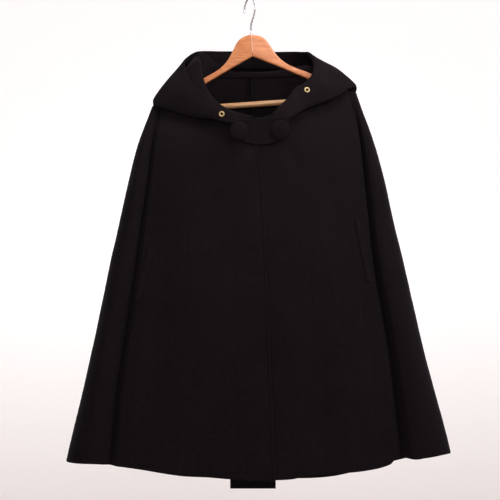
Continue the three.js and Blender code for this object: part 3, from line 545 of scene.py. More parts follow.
def lacquered_beech(name, turn, pale, deep):
    """Stained wood with long grain, fine pores and a thin clear lacquer."""
    wood = Finish(name)
    along = wood.stretched(3.5, 60, 60, turn)
    warp = wood.noise(2.2, along, detail=3)
    rings = wood.noise(1.0, along, detail=5, rough=0.62)
    pores = wood.noise(14, wood.stretched(10, 180, 180, turn), detail=2)
    bands = wood.node("ShaderNodeMath", {"operation": "PINGPONG"}, {0: rings * 5.0 + warp * 0.6, 1: 0.5})
    grain = wood.between(bands, 0.05, 0.45)
    stain = wood.mix(grain * 0.65, pale, deep)
    marked = wood.mix(wood.between(pores, 0.62, 0.78) * 0.45, stain, tuple(v * 0.5 for v in deep))
    wood.set(Base_Color=marked, Roughness=0.36 + grain * 0.12, Normal=wood.bump(pores, 0.0002, 0.25))
    wood.set(Coat_Weight=0.35, Coat_Roughness=0.18)
    return wood.material


def metal(name, colour, dull, rough):
    """Plain metal with faint rubbing and handling marks."""
    plate = Finish(name)
    rub = plate.noise(260, detail=3)
    touch = plate.noise(900, detail=2)
    plate.set(Base_Color=plate.mix(plate.between(rub, 0.35, 0.75) * 0.6, colour, dull),
              Roughness=rough + touch * 0.18, Normal=plate.bump(touch, 0.00008, 0.3))
    plate.set(Metallic=1.0)
    return plate.material


WOOL = wool_melton("wool melton body")
# The hood, its facing, the welts, the tab and the buttons get the body's wool painted lighter, as painted light on
# parts that catch more light.
WOOL_HOOD_PAINTED_LIGHTER = wool_melton("wool melton hood painted lighter", 1.12)
WOOL_TRIM_PAINTED_LIGHTER = wool_melton("wool melton trim painted lighter", 1.1)
BRASS = metal("polished brass", (0.62, 0.45, 0.22), (0.40, 0.27, 0.12), 0.26)


def add_piece(name, solid, material, node):
    """Makes one piece that rides on the root body and stands for its node."""
    points, quads = solid
    mesh = bpy.data.meshes.new(name)
    mesh.vertices.add(len(points))
    mesh.vertices.foreach_set("co", (np.asarray(points, float) / 1000).ravel())
    mesh.loops.add(quads.size)
    mesh.loops.foreach_set("vertex_index", quads.astype(np.int32).ravel())
    mesh.polygons.add(len(quads))
    mesh.polygons.foreach_set("loop_start", np.arange(0, quads.size, quads.shape[1], dtype=np.int32))
    mesh.update(calc_edges=True)
    mesh.polygons.foreach_set("use_smooth", np.ones(len(quads), bool))
    mesh.set_sharp_from_angle(angle=math.radians(65))
    mesh.materials.append(material)
    made = bpy.data.objects.new(name, mesh)
    bpy.context.scene.collection.objects.link(made)
    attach(made, "root")
    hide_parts(node)
    return made


def soft_line(points, start, end, width):
    """How strongly a crease from start to end, fading out at both, is felt at each point."""
    start, end = np.array(start, float), np.array(end, float)
    run = end - start
    share = ((points - start) @ run) / (run @ run)
    away = np.linalg.norm(points - start - np.clip(share, 0, 1)[..., None] * run, axis=-1)
    fade = np.sin(math.pi * np.clip(share, 0.02, 0.98)) ** 0.6
    return fade * np.exp(-((away / width) ** 2))


# Creases, in the front view: start x and z, end x and z, width and depth, ridges being positive
CREASES = {
    "front_right": (
        (-112, -372, -14, -262, 13, -5.2), (-78, -388, 8, -290, 11, 3.4), (-30, -392, 2, -330, 7, -2.2),
        (-22, -474, 12, -477, 4, -1.7), (-12, -522, 22, -526, 4.2, -1.6), (-18, -600, 20, -604, 4, -1.0),
        (-30, -498, 8, -500, 4.5, -1.1), (-26, -548, 14, -551, 4.2, -0.9),
        (-32, -670, -27, -925, 5, -1.3), (-29, -300, -32, -640, 6, -0.8),
        (-150, -420, -175, -860, 22, -2.2), (-70, -520, -95, -890, 26, 2.0), (-190, -560, -226, -870, 13, 1.8),
        (-120, -260, -150, -420, 14, 1.6), (-172, -250, -186, -440, 9, -1.6),
    ),
    "front_left": (
        (96, -330, 52, -262, 13, -2.0), (150, -262, 178, -430, 14, 1.8),
        (120, -520, 140, -890, 24, -2.2), (70, -560, 82, -900, 22, 1.8), (190, -560, 232, -860, 16, 1.8),
        (206, -470, 214, -640, 7, -1.4), (170, -300, 150, -460, 16, -1.6),
    ),
    "side_right": (
        (-214, -300, -262, -620, 9, -1.8), (-250, -520, -300, -860, 12, 1.8), (-196, -240, -214, -420, 7, 1.2),
    ),
    "side_left": (
        (234, -300, 290, -640, 9, -1.8), (270, -520, 330, -850, 12, 1.8), (222, -240, 242, -420, 7, 1.2),
        (256, -690, 276, -850, 7, -1.6),
    ),
    "back_right": (
        (-60, -380, -84, -800, 18, -2.2), (-150, -340, -190, -760, 20, 2.2), (-112, -300, -60, -430, 14, -1.8),
        (-206, -560, -240, -860, 12, -1.8),
    ),
    "back_left": (
        (66, -390, 92, -780, 18, -2.0), (160, -340, 204, -720, 20, 2.2), (122, -310, 70, -440, 14, -1.8),
        (226, -540, 262, -850, 12, -1.8), (120, -640, 136, -900, 14, 1.4),
    ),
}


def ripple(points, seed, size):
    """Slow uneven swelling of hanging cloth, by a sum of a few waves."""
    rng = np.random.default_rng(seed)
    total = np.zeros(points.shape[:-1])
    for _ in range(9):
        way = rng.normal(size=2)
        way = way / np.linalg.norm(way) * (2 * math.pi / (size * rng.uniform(0.6, 1.7)))
        total += rng.uniform(0.4, 1.0) * np.sin(points @ way + rng.uniform(0, 6.28))
    return total / 4.5


def crease_lift(flat, name, seed):
    """How far a panel's creases and slow swelling lift it at places in the front view."""
    lift = 0.55 * ripple(flat, seed, 90) + 0.16 * ripple(flat, seed + 1, 22)
    for x0, z0, x1, z1, width, deep in CREASES.get(name, ()):
        lift += deep * soft_line(flat, (x0, z0), (x1, z1), width)
    return lift


def creased(grid, sign, name, seed):
    """Lays a panel's creases and slow swelling into its grid, held still along its top and seams."""
    lift = crease_lift(grid[..., (0, 2)], name, seed)
    nu, nv = lift.shape
    sides = smooth(np.minimum(np.arange(nu), np.arange(nu)[::-1]) / 5)[:, None]
    top = smooth((np.arange(nv) - len(DROPS)) / 9)[None, :]
    return grid + normals_of(grid, sign) * (lift * sides * top)[..., None]


def trimmed(grid, gap=SEAM_GAP / 2):
    """Draws a panel's two long edges half a seam gap in."""
    grid = grid.copy()
    for edge, inner in ((0, 1), (-1, -2)):
        way = grid[inner] - grid[edge]
        far = np.linalg.norm(way, axis=-1, keepdims=True)
        grid[edge] += way / np.maximum(far, 1e-6) * np.minimum(gap, far * 0.4)
    return grid


def front_rings(half):
    """The front's columns, close together at its free edge and at the neckline's corner."""
    corner = neck_ring(half, True)
    close = np.array([0, 0.9, 1.8, 2.7, 3.6, 4.6, 5.8, 7.2, 9, 11.5]) / 290
    neckline = np.r_[close, close[-1] + (corner - CORNER - close[-1]) * closing(np.linspace(0, 1, 44)[1:], 1.5)]
    return np.r_[neckline, np.linspace(corner + CORNER, 0.86, 36), np.linspace(0.865, 1, 26)[1:]]


def back_rings(half):
    """The back's columns, from the side seam to the centre."""
    corner = neck_ring(half, False)
    neckline = 3 - (corner - CORNER) * closing(np.linspace(1, 0, 30), 1.3)
    turn = np.linspace(0, 0.2, 17)
    return np.r_[2 + turn, np.linspace(2.2, 3 - corner - CORNER, 44)[1:], neckline]


SIDE_RINGS = np.r_[np.linspace(1, 1.4, 38), np.linspace(1.4, 2, 42)[1:]]
RETURN_STEPS = (0.6, 1.2, 1.8, 2.4, 3, 3.5, 4, 4.5, 5)


def back_level(half, x, z, edge_y):
    """How far back the back panel lies at a place near the centre."""
    low = np.minimum(z, BASE_Z)
    reach = np.clip(np.abs(x / section_point(half, 2, low)[..., 0]), 0, 1)
    return np.where(z > BASE_Z, edge_y, section_point(half, 3 - reach, low)[..., 1])


def pleat_return(half, step):
    """The back's folded edge: the cloth turns in at the centre and runs back under itself."""
    edge = body_grid(half, [3.0])[0]
    wide = lerp(PLEAT["seam"], PLEAT[half.name], smooth((PLEAT["start"] - edge[:, 2]) / PLEAT["grow"]))
    angle = min(step, 3) / 3 * math.pi
    slide = (step - 3) / 2 * wide if step > 3 else RETURN_TURN * (1 - math.sin(max(angle, math.pi / 2)))
    x = half.side * (SEAM_GAP + slide)
    level = back_level(half, x, edge[:, 2], edge[:, 1]) - RETURN_TURN * (1 - math.cos(angle))
    return point(x, level, edge[:, 2])


def squared(run, normals, rings, half):
    """Turns the edges along the shoulder straight up, half a seam gap apart."""
    for column, ring in enumerate(rings):
        front = ring <= 1
        if front or ring >= 2:
            _, roll = top_edge(half, np.array(ring if front else 3 - ring), front)
            if roll > 0:
                normals[column, :2, 1] *= (0, 0.5)
                run[column, 0, 1] += (-1 if front else 1) * SEAM_GAP / 2
    return unit(normals)


PRESS = {"deep": 0.45, "wide": 5.0}
ROLLED_EDGE = {"high": 1.3, "at": 3.6, "wide": 1.9, "fall": 1.1, "stitch": 0.35, "row": 7.5}


def rolled_edge(grid, sign):
    """The upper front's edge: pressed over in a small roll, with one row of stitching behind it."""
    run = np.linalg.norm(np.diff(grid[:, -1:], axis=0, prepend=grid[:1, -1:]), axis=-1).cumsum(0)
    roll = ROLLED_EDGE
    lift = roll["high"] * np.exp(-(((run - roll["at"]) / roll["wide"]) ** 2))
    lift = lift - roll["fall"] * np.exp(-((run / 1.6) ** 2))
    lift = lift - roll["stitch"] * np.exp(-(((run - roll["row"]) / 0.9) ** 2))
    return grid + normals_of(grid, sign) * lift[..., None]


def eased(grid, rings, corner):
    """Softens the bend below the neckline's corner, from column to column."""
    grid = grid.copy()
    near = np.exp(-(((rings - corner) / 0.07) ** 2))[:, None] * smooth((np.arange(grid.shape[1]) - 4) / 6)
    for _ in range(80):
        middle = (grid[2:, :, 1] + grid[:-2, :, 1]) / 2
        grid[1:-1, :, 1] += 0.5 * near[1:-1] * (middle - grid[1:-1, :, 1])
    return grid


def build_body(half):
    """The front, side and back of one half, on one run of columns with shared seam lines."""
    sign = -half.side
    seed = 20 if half.side > 0 else 0
    front_ring, back_ring = front_rings(half), back_rings(half)
    front = eased(settled(body_grid(half, front_ring)), front_ring, neck_ring(half, True))
    front = creased(front, sign, f"front_{half.name}", seed + 3)
    if half.step == 0:
        front = rolled_edge(front, sign)
    side = settled(body_grid(half, SIDE_RINGS))
    if half.step > 0:
        depth = ROW_DROP / DOME_DROP + 3 * ROW_SHARE
        side[0, :, 1] = front[-1, :, 1] + half.step * np.interp(depth, (0.25, 0.575, 1, 2), (0, 0.333, 0.667, 1))
    side = creased(side, sign, f"side_{half.name}", seed + 5)
    back = creased(settled(body_grid(half, back_ring)), sign, f"back_{half.name}", seed + 7)
    returns = settled(np.array([pleat_return(half, step) for step in RETURN_STEPS]))
    rings = np.r_[front_ring, SIDE_RINGS[1:], back_ring[1:], np.full(len(RETURN_STEPS), 1.5)]
    run = np.concatenate([front, side[1:], back[1:], returns])
    first, second = len(front) - 1, len(front) + len(side) - 2
    if half.step > 0:
        front_normals = squared(front, normals_of(front, sign), front_ring, half)
        run[first] = side[0]
        rest_normals = normals_of(run[first:], sign)
        shared = unit(front_normals[-1] + rest_normals[0])
        apart = smooth(depth - 1)[:, None]
        front_normals[-1] = unit(lerp(shared, front_normals[-1], apart))
        rest_normals[0] = unit(lerp(shared, rest_normals[0], apart))
        normals = np.concatenate([front_normals[:-1], rest_normals])
        normals = squared(run, normals, rings, half)
    else:
        normals = squared(run, normals_of(run, sign), rings, half)
        front, front_normals = run[:first + 1], normals[:first + 1]
    along = np.arange(len(run))
    dip = sum(np.exp(-(((along - seam) / (PRESS["wide"] / 2)) ** 2)) for seam in (first, second))
    run = run - normals * (PRESS["deep"] * dip)[:, None, None]
    if half.step > 0:
        front = front - front_normals * (PRESS["deep"] * dip[:first + 1])[:, None, None]
    else:
        front = run[:first + 1]
    panels = {
        "front": (front, front_normals, (False, True, True, False)),
        "side": (run[first:second + 1], normals[first:second + 1], (True, True, True, False)),
        "back": (run[second:], normals[second:], (True, False, True, False)),
    }
    for kind, (grid, way, seams) in panels.items():
        node = f"{kind}_{half.name}"
        add_piece(f"cloth_{node}", wall(trimmed(grid), sign, CLOTH, way, seams), WOOL, node)


def front_point(half, x, z):
    """A place on a front, from its place in the front view."""
    start = read(SECTIONS, "z", "edge", z) - half.lap
    return section_point(half, (x - start) / (read(SECTIONS, "z", half.valley, z) - start), z)


def slit_welt(name):
    """A folded strip over each arm slit, stitched down along one side."""
    side_name, top, foot = SLITS[name]
    half = HALVES[side_name]
    across = np.linspace(WELT["wide"], 0, 15)[:, None]
    t = np.linspace(0, 1, 61)[None, :]
    z = lerp(top[1], foot[1], t) + 0 * across
    grid = front_point(half, lerp(top[0], foot[0], t) + half.side * across, z)
    normals = normals_of(grid, half.side)
    puff = 0.3 * np.sin(math.pi * across / WELT["wide"]) - 0.25 * np.exp(-(((across - 2.6) / 0.7) ** 2))
    ends = 0.3 * np.exp(-((np.minimum(t, 1 - t) / 0.03) ** 2))
    pucker = 0.12 * np.sin(t * 96) * np.exp(-(((across - 2.6) / 2.2) ** 2))
    seed = 23 if half.side > 0 else 3
    lift = WELT["seat"] + WELT["thick"] + puff - ends + pucker
    lift = lift + crease_lift(grid[..., (0, 2)], f"front_{side_name}", seed)
    return wall(grid + normals * lift[..., None], half.side, WELT["thick"])


def back_pleat():
    """The underlay strip of the inverted pleat."""
    across, down = np.linspace(-PLEAT["right"], PLEAT["left"], 41), np.linspace(PLEAT["top"], PLEAT["hem"], 121)
    x, z = np.meshgrid(across, down, indexing="ij")
    level = np.where(x < 0, back_level(RIGHT, x, z, 0), back_level(LEFT, x, z, 0))
    grid = point(x + np.sign(x) * SEAM_GAP, level - 2 * RETURN_TURN - REST_GAP, z)
    return wall(grid, -1, CLOTH)


def neck_place(half, neck):
    """Where the hood's seam lies on the neckline, and which way the body rises there."""
    neck = np.asarray(neck, float)
    is_front = neck <= 1
    share = np.where(is_front, neck, 2 - neck) / (1 - OVER_ARM)
    corner = shoulder(half.neck, half.side)
    edge = read(SECTIONS, "z", "edge", BASE_Z)
    seams, rises = [], []
    for front, part, place in zip(is_front, share, neck):
        if part >= 1:
            depth = DOME_DEPTH * (place - 1) / OVER_ARM
            seams.append(corner + (0, depth, SEAM_GAP))
            rises.append(np.array([0.0, 0.0, 1.0]))
            continue
        start = edge - half.lap if front else half.side * SEAM_GAP
        x = lerp(edge if front else start, corner[0], min(closing(part, 1.5), 0.999))
        across = (x - start) / (shoulder(DOME_AT, half.side)[0] - start)
        column = body_grid(half, [across if front else 3 - across], np.array([0, DOME_DROP]), np.zeros(2),
                           np.zeros(2))[0]
        rise = unit(column[0] - column[1])
        back = HOOD_SEAM["back"] if front else -HOOD_SEAM["back"]
        inward = np.array([-half.side * HOOD_SEAM["across"] * part, back, 0])
        seams.append(column[0] + rise * HOOD_SEAM["up"] + inward)
        rises.append(rise)
    return np.array(seams), np.array(rises)


def through(points, places):
    """A smooth line through the points of each row, read at places counted in points."""
    first = 2 * points[:, :1] - points[:, 1:2]
    last = 2 * points[:, -1:] - points[:, -2:-1]
    ends = np.concatenate([first, points, last], axis=1)
    spans = np.maximum(np.linalg.norm(np.diff(ends, axis=1), axis=-1, keepdims=True) ** 0.5, 1e-3)
    low = np.clip(np.floor(places).astype(int), 0, points.shape[1] - 2)
    t = (places - low)[None, :, None]
    p0, p1, p2, p3 = (ends[:, low + k] for k in range(4))
    d0, d1, d2 = (spans[:, low + k] for k in range(3))
    m1 = ((p1 - p0) / d0 - (p2 - p0) / (d0 + d1) + (p2 - p1) / d1) * d1
    m2 = ((p2 - p1) / d1 - (p3 - p1) / (d1 + d2) + (p3 - p2) / d2) * d1
    return p1 + m1 * t + (3 * (p2 - p1) - 2 * m1 - m2) * t ** 2 + (2 * (p1 - p2) + m1 + m2) * t ** 3


def hood_rows(name, along):
    """All the hood's sizes at places along its length, 0 at the throat and 1 at the centre seam."""
    rows = dict(HOOD[name])
    rows["place"] = np.linspace(0, 1, len(rows["neck"]))
    return {key: read(rows, "place", key, along) for key in HOOD_COLUMNS.split()}


# Creases of the hood's outer layer: along its length and across it, with width and depth
HOOD_CREASES = {
    "right": (
        (0.3, 7.0, 0.52, 6.2, 0.055, -2.2), (0.45, 7.3, 0.66, 6.4, 0.05, 2.0), (0.6, 7.4, 0.75, 6.0, 0.05, -2.6),
        (0.78, 7.2, 0.86, 5.6, 0.045, 2.0), (0.9, 7.4, 0.93, 5.5, 0.03, -2.0),
    ),
    "left": (
        (0.34, 7.1, 0.5, 6.3, 0.05, -2.2), (0.5, 7.5, 0.6, 6.1, 0.035, -3.0), (0.56, 7.2, 0.66, 6.6, 0.04, 2.4),
        (0.7, 7.3, 0.78, 6.0, 0.05, -2.4), (0.86, 7.2, 0.9, 5.6, 0.035, 2.0),
    ),
}


def hood_grid(name, alongs, places):
    """The let-down hood, from the neck seam over its stand and rolled fold to the face edge."""
    half = HALVES[name]
    row = hood_rows(name, alongs)
    edge, fold = point(row["ex"], row["ey"], row["ez"]), point(row["fx"], row["fy"], row["fz"])
    ahead = hood_rows(name, np.minimum(1, alongs + 0.02))
    behind = hood_rows(name, np.maximum(0, alongs - 0.02))
    run = point(*(ahead[k] - behind[k] for k in ("fx", "fy", "fz")))
    up = unit(edge - fold)
    out = unit(np.cross(run, up)) * half.side
    seam, rise = neck_place(half, row["neck"])
    roll, puff = row["roll"][:, None], row["puff"][:, None]
    chest = np.exp(-(((row["neck"] - 0.7) / 0.3) ** 2))
    ridge = np.exp(-(((row["neck"] - 1) / 0.3) ** 2))
    away = unit(point(seam[:, 0] - 8, seam[:, 1] + 4 - 60 * chest, 0))
    under = fold - 2 * roll * out + roll * up
    outer = fold + roll * up
    stand = row["stand"][:, None]
    lean = np.minimum(stand, STAND_LEAN)
    middle = lerp(seam, under, 0.5) + 0.12 * lean * away
    middle = middle + point(0, -HOOD_RISE["chest"] * chest, 0.3 * stand[:, 0] + HOOD_RISE["ridge"] * ridge)
    points = np.stack([
        seam,
        seam + 0.65 * stand * rise + 0.1 * lean * away,
        seam + 0.6 * lean * away + point(0, 0, stand[:, 0]),
        middle,
        under,
        fold - roll * out,
        outer,
        lerp(outer, edge, 0.5) + puff * out,
        edge,
    ], axis=1)
    return through(points, places)


HOOD_ALONGS = np.linspace(0, 1, 151)
HOOD_PLACES = np.r_[np.linspace(0, 4, 45), np.linspace(4, 6, 31)[1:], np.linspace(6, 8, 41)[1:]]

# Eyelets for the hood's cord: place along the hood and on its outer layer, and the ring's radii
EYELETS = {"right": (0.165, 6.9), "left": (0.37, 7.35)}
EYELET = {"outer": 5.2, "hole": 2.75, "rise": 0.9, "foot": -0.5}


def brass_eyelet(spot, normal):
    """A rolled brass ring pressed into the cloth."""
    outer, hole, foot = EYELET["outer"], EYELET["hole"], EYELET["foot"]
    bend = np.linspace(0, math.pi, 11)
    reach = np.r_[lerp(hole, outer, 0.5 + 0.5 * np.cos(bend)), hole, outer]
    rise = np.r_[EYELET["rise"] * np.sin(bend), foot, foot]
    turn = np.linspace(0, 2 * math.pi, 49)[:-1]
    across = unit(np.cross(normal, (0, 1, 0.2)))
    other = np.cross(normal, across)
    ring = np.cos(turn)[:, None] * across + np.sin(turn)[:, None] * other
    points = spot + reach[:, None, None] * ring + rise[:, None, None] * normal
    index = np.arange(len(reach) * len(turn)).reshape(len(reach), len(turn))
    below, ahead = np.roll(index, -1, axis=0), np.roll(index, -1, axis=1)
    quads = np.stack([index, ahead, np.roll(ahead, -1, axis=0), below], -1).reshape(-1, 4)
    return points.reshape(-1, 3), quads


def hood_and_facing(name):
    """One half of the hood and the facing inside its face edge."""
    half = HALVES[name]
    grid = hood_grid(name, HOOD_ALONGS, HOOD_PLACES)
    off_centre = JOINT[0] * half.side - 0.12 + 0.5 * np.arange(len(grid))[::-1, None]
    grid[-12:, :, 0] = half.side * np.maximum(half.side * grid[-12:, :, 0], off_centre[-12:])
    grid[-1, :, 0] = half.side * off_centre[-1]
    flat = np.stack(np.broadcast_arrays(HOOD_ALONGS[:, None] * 10, HOOD_PLACES[None, :]), -1)
    lift = np.zeros(flat.shape[:2])
    for a0, p0, a1, p1, width, deep in HOOD_CREASES[name]:
        lift += deep * soft_line(flat, (a0 * 10, p0), (a1 * 10, p1), width * 10)
    size = np.linalg.norm(grid[:, -1] - grid[:, 75], axis=-1)[:, None] / 120
    slow = ripple(flat * 40, 31 + half.side, 60) * 1.2
    hold = smooth((HOOD_PLACES - 4.4) / 1.2) * smooth((8 - HOOD_PLACES) / 0.5)
    ends = smooth(HOOD_ALONGS * 12)[:, None] * smooth((1 - HOOD_ALONGS) * 14)[:, None]
    lift = (lift + slow) * hold[None, :] * ends * np.clip(size, 0.15, 1.0)
    centre = -0.7 * np.exp(-(((1 - HOOD_ALONGS) / 0.012) ** 2))[:, None] * np.ones_like(lift)
    normals = normals_of(grid, half.side)
    normals[-1, :, 0] = 0
    normals = unit(normals)
    grid = grid + normals * (lift + centre)[..., None]
    normals = normals_of(grid, half.side)
    normals[-1, :, 0] = 0
    body = wall(grid, half.side, CLOTH, unit(normals), (False, True, False, False))
    add_piece(f"cloth_hood_{name}", body, WOOL_HOOD_PAINTED_LIGHTER, f"hood_{name}")
    along, place = EYELETS[name]
    spot = np.argmin(np.abs(HOOD_ALONGS - along)), np.argmin(np.abs(HOOD_PLACES - place))
    ring = brass_eyelet(grid[spot], normals[spot])
    add_piece(f"brass_eyelet_{name}", ring, BRASS, f"eyelet_{name}")
    rows = []
    far = np.array([-FACING["proud"], -1.0, 0, 2, 5, 9, 14, 20, 26, FACING["wide"]])
    faced = HOOD_ALONGS > FACING["from"]
    for column, sides in zip(grid[faced], unit(normals)[faced]):
        inner = (column - sides * (CLOTH + FACING["gap"]))[::-1]
        run = np.r_[0, np.cumsum(np.linalg.norm(np.diff(inner, axis=0), axis=-1))]
        past = unit(inner[0] - inner[1])
        at_far = np.stack([np.interp(np.clip(far, 0, None), run, inner[:, k]) for k in range(3)], -1)
        rows.append(at_far - np.minimum(far, 0)[:, None] * past)
    face = np.array(rows)[:, ::-1]
    body = wall(face, half.side, FACING["thick"])
    add_piece(f"cloth_hood_facing_{name}", body, WOOL_HOOD_PAINTED_LIGHTER, f"hood_facing_{name}")


def on_tab(local):
    """From the neck tab's own place, x across, y out and z up, to the garment's frame."""
    lean, tilt = TAB["lean"], TILT
    x, y, z = local[..., 0], local[..., 1], local[..., 2]
    y, z = y * math.cos(lean) - z * math.sin(lean), y * math.sin(lean) + z * math.cos(lean)
    turned = point(x * math.cos(tilt) - z * math.sin(tilt), y, x * math.sin(tilt) + z * math.cos(tilt))
    return turned + (TAB["x"], TAB["y"], TAB["z"])


def neck_tab():
    """The half-moon strap of doubled cloth, rounded at its edge and stitched round."""
    turn = np.linspace(0.0, math.pi, 121)
    cos, sin = np.cos(turn), np.sin(turn)
    rim_x = TAB["half"] * np.sign(cos) * np.abs(cos) ** TAB["power"]
    rim_z = -TAB["high"] * np.maximum(sin, 0) ** TAB["power"]
    across = np.linspace(-1, 1, 97)
    order = np.argsort(rim_x)
    x = across * (TAB["half"] - 0.4)
    low = np.interp(x, rim_x[order], rim_z[order])
    soft = 1.2 * (1 - np.clip((TAB["half"] - np.abs(x)) / 6, 0, 1)) ** 2
    z = np.linspace(0, 1, 61)[None, :] * (low + soft)[:, None] - soft[:, None]
    x = np.repeat(x[:, None], 61, 1)
    rim = np.stack([np.r_[rim_x, np.linspace(-TAB["half"], TAB["half"], 121)], np.r_[rim_z, np.zeros(121)]], -1)
    here = np.stack([x, z], -1)
    far = np.min(np.linalg.norm(here[:, :, None] - rim[None, None], axis=-1), axis=-1)
    body = TAB["thick"] / 2
    swell = body * np.sqrt(np.clip(1 - (1 - np.clip(far / 2.4, 0, 1)) ** 2, 0.02, 1))
    stitch = 0.4 * np.exp(-(((far - 5.2) / 0.8) ** 2)) * (0.75 + 0.25 * np.sin(x * 2.1 + z * 1.7))
    dimple = sum(np.exp(-(((x - cx) ** 2 + (z - cz) ** 2) / 22.0 ** 2)) for cx, cz in ((-41, -24), (36, -23)))
    face = -body - swell + stitch + dimple * 0.45
    back = -body + swell - 0.3
    points = on_tab(np.r_[point(x, face, z).reshape(-1, 3), point(x, back, z).reshape(-1, 3)])
    return points, two_faced(*x.shape)[:, ::-1]


def covered_button(name, seed):
    """A domed button covered in the same cloth, drawn in pleats over its rim."""
    x, z, radius = BUTTONS[name]
    rng = np.random.default_rng(seed)
    turn = np.linspace(0, 2 * math.pi, 97)[:-1]
    crown = np.linspace(0.02, math.pi / 2, 22)
    profile = [(radius * math.sin(a), BUTTON["edge"] + BUTTON["dome"] * math.cos(a)) for a in crown]
    profile += [(radius - 0.15, 1.7), (radius - 0.6, 1.1), (radius - 1.5, BUTTON["back"] / 2), (radius * 0.5, 0.3),
                (0.4, 0.3)]
    reach, rise = np.array(profile).T
    pleats = sum(rng.uniform(0.3, 1) * np.cos(k * turn + rng.uniform(0, 6)) for k in (7, 11, 17, 23)) / 2.6
    near_rim = np.exp(-(((reach - radius) / 3.2) ** 2))
    reach = reach[:, None] + 0.22 * pleats[None, :] * near_rim[:, None]
    lift = rise[:, None] + 0.25 * pleats[None, :] * near_rim[:, None]
    centre = np.array([x - TAB["x"], 0, z - TAB["z"]])
    centre = point(centre[0] * math.cos(TILT) + centre[2] * math.sin(TILT), -TAB["thick"] - BUTTON["seat"],
                   -centre[0] * math.sin(TILT) + centre[2] * math.cos(TILT))
    local = point(reach * np.cos(turn), -lift, reach * np.sin(turn)) + centre
    index, quads = ring_quads(*reach.shape)
    points = on_tab(local.reshape(-1, 3))
    middle = on_tab(np.array([centre + (0, -BUTTON["edge"] - BUTTON["dome"], 0), centre + (0, -0.3, 0)]))
    size = index.size
    fans = []
    for ring, hub, turn_over in ((index[0], size, False), (index[-1], size + 1, True)):
        first, second, third = ring[0::2], ring[1::2], np.roll(ring[0::2], -1)
        fan = np.stack([np.full(len(first), hub), third, second, first], -1)
        fans.append(fan[:, ::-1] if turn_over else fan)
    return np.r_[points, middle], np.r_[quads, *fans][:, ::-1]


def tube(path, radius, sides):
    """A round tube along a line of points."""
    path = np.array(path, float)
    ways = unit(np.gradient(path, axis=0))
    side = unit(np.cross(ways[0], (0.3, 0.5, 0.8)))
    rings = []
    radii = np.broadcast_to(radius, (len(path),))
    turn = np.linspace(0, 2 * math.pi, sides + 1)[:-1]
    for centre, way, reach in zip(path, ways, radii):
        side = unit(side - way * (side @ way))
        other = np.cross(way, side)
        rings.append(centre + reach * (np.cos(turn)[:, None] * side + np.sin(turn)[:, None] * other))
    return np.concatenate(rings), capped_rings(len(path), sides)


def hanger_arm(side):
    """One shaped wooden arm, rounded all round, thick at the joint and lobed at the bar's end."""
    outs = np.r_[np.linspace(0.25, 150, 90), np.linspace(151, 160, 19), np.linspace(161.5, 185.6, 26)]
    top, low = read(ARM_TOP, "out", "top", outs), np.interp(outs, ARM_UNDER["out"], ARM_UNDER["low"])
    top = np.convolve(np.pad(top, 3, mode="edge"), np.ones(7) / 7, "valid")
    low = np.convolve(np.pad(low, 2, mode="edge"), np.ones(5) / 5, "valid")
    turn = np.linspace(0, 2 * math.pi, 49)[:-1]
    box_y = np.sign(np.cos(turn)) * np.abs(np.cos(turn)) ** 0.42
    box_z = np.sign(np.sin(turn)) * np.abs(np.sin(turn)) ** 0.42
    tip = np.clip((186 - outs) / 7, 0, 1)
    slim = 0.35 + 0.65 * np.sqrt(1 - (1 - tip) ** 2)
    high, deep = (top - low) / 2, ARM_THICK / 2 * slim
    up = ((top + low) / 2)[:, None] + (high * (0.5 + 0.5 * slim))[:, None] * box_z
    grid = on_hanger(np.repeat(outs[:, None], 48, 1), up, side)
    grid[..., 1] += deep[:, None] * box_y
    quads = capped_rings(*grid.shape[:2])
    return grid.reshape(-1, 3), quads[:, ::-1] if side < 0 else quads


def hanger_bar():
    """The round bar between the two arms' lobes."""
    middle, reach = on_hanger(0, BAR["up"], 1), BAR["end"] * np.array([math.cos(TILT), 0, math.sin(TILT)])
    ends = [middle - reach, middle + reach]
    share = np.r_[0, 0.002, np.linspace(0.006, 0.994, 60), 0.998, 1]
    path = [lerp(ends[0], ends[1], s) + (0, BAR["end"] * SWEEP, 0) for s in share]
    radius = np.full(len(share), BAR["radius"])
    radius[[0, -1]] *= 0.85
    return tube(path, radius, 32)


def hanger_hook():
    """A stem that swings out and runs over the top in one round bend, its tip rounded."""
    centre = HOOK["wire"] - HOOK["radius"]
    bend = [(HOOK["radius"] * math.cos(math.radians(d)), centre + HOOK["radius"] * math.sin(math.radians(d)))
            for d in np.linspace(-12, 188, 11)]
    plan = np.array([(0, HOOK["foot"]), (0, -59), (2.5, -51), (10.5, -42.5), (18, -34), *bend])
    points = point(
        plan[:, 0] * math.cos(HOOK["turn"]) + HOOK["stem"] * smooth((-40 - plan[:, 1]) / 20),
        -plan[:, 0] * math.sin(HOOK["turn"]),
        plan[:, 1],
    )
    path = through(points[None], np.linspace(0, len(plan) - 1, 181))[0]
    radius = np.full(len(path), HOOK["wire"])
    radius[-3:] *= (0.93, 0.75, 0.4)
    return tube(path, radius, 20)


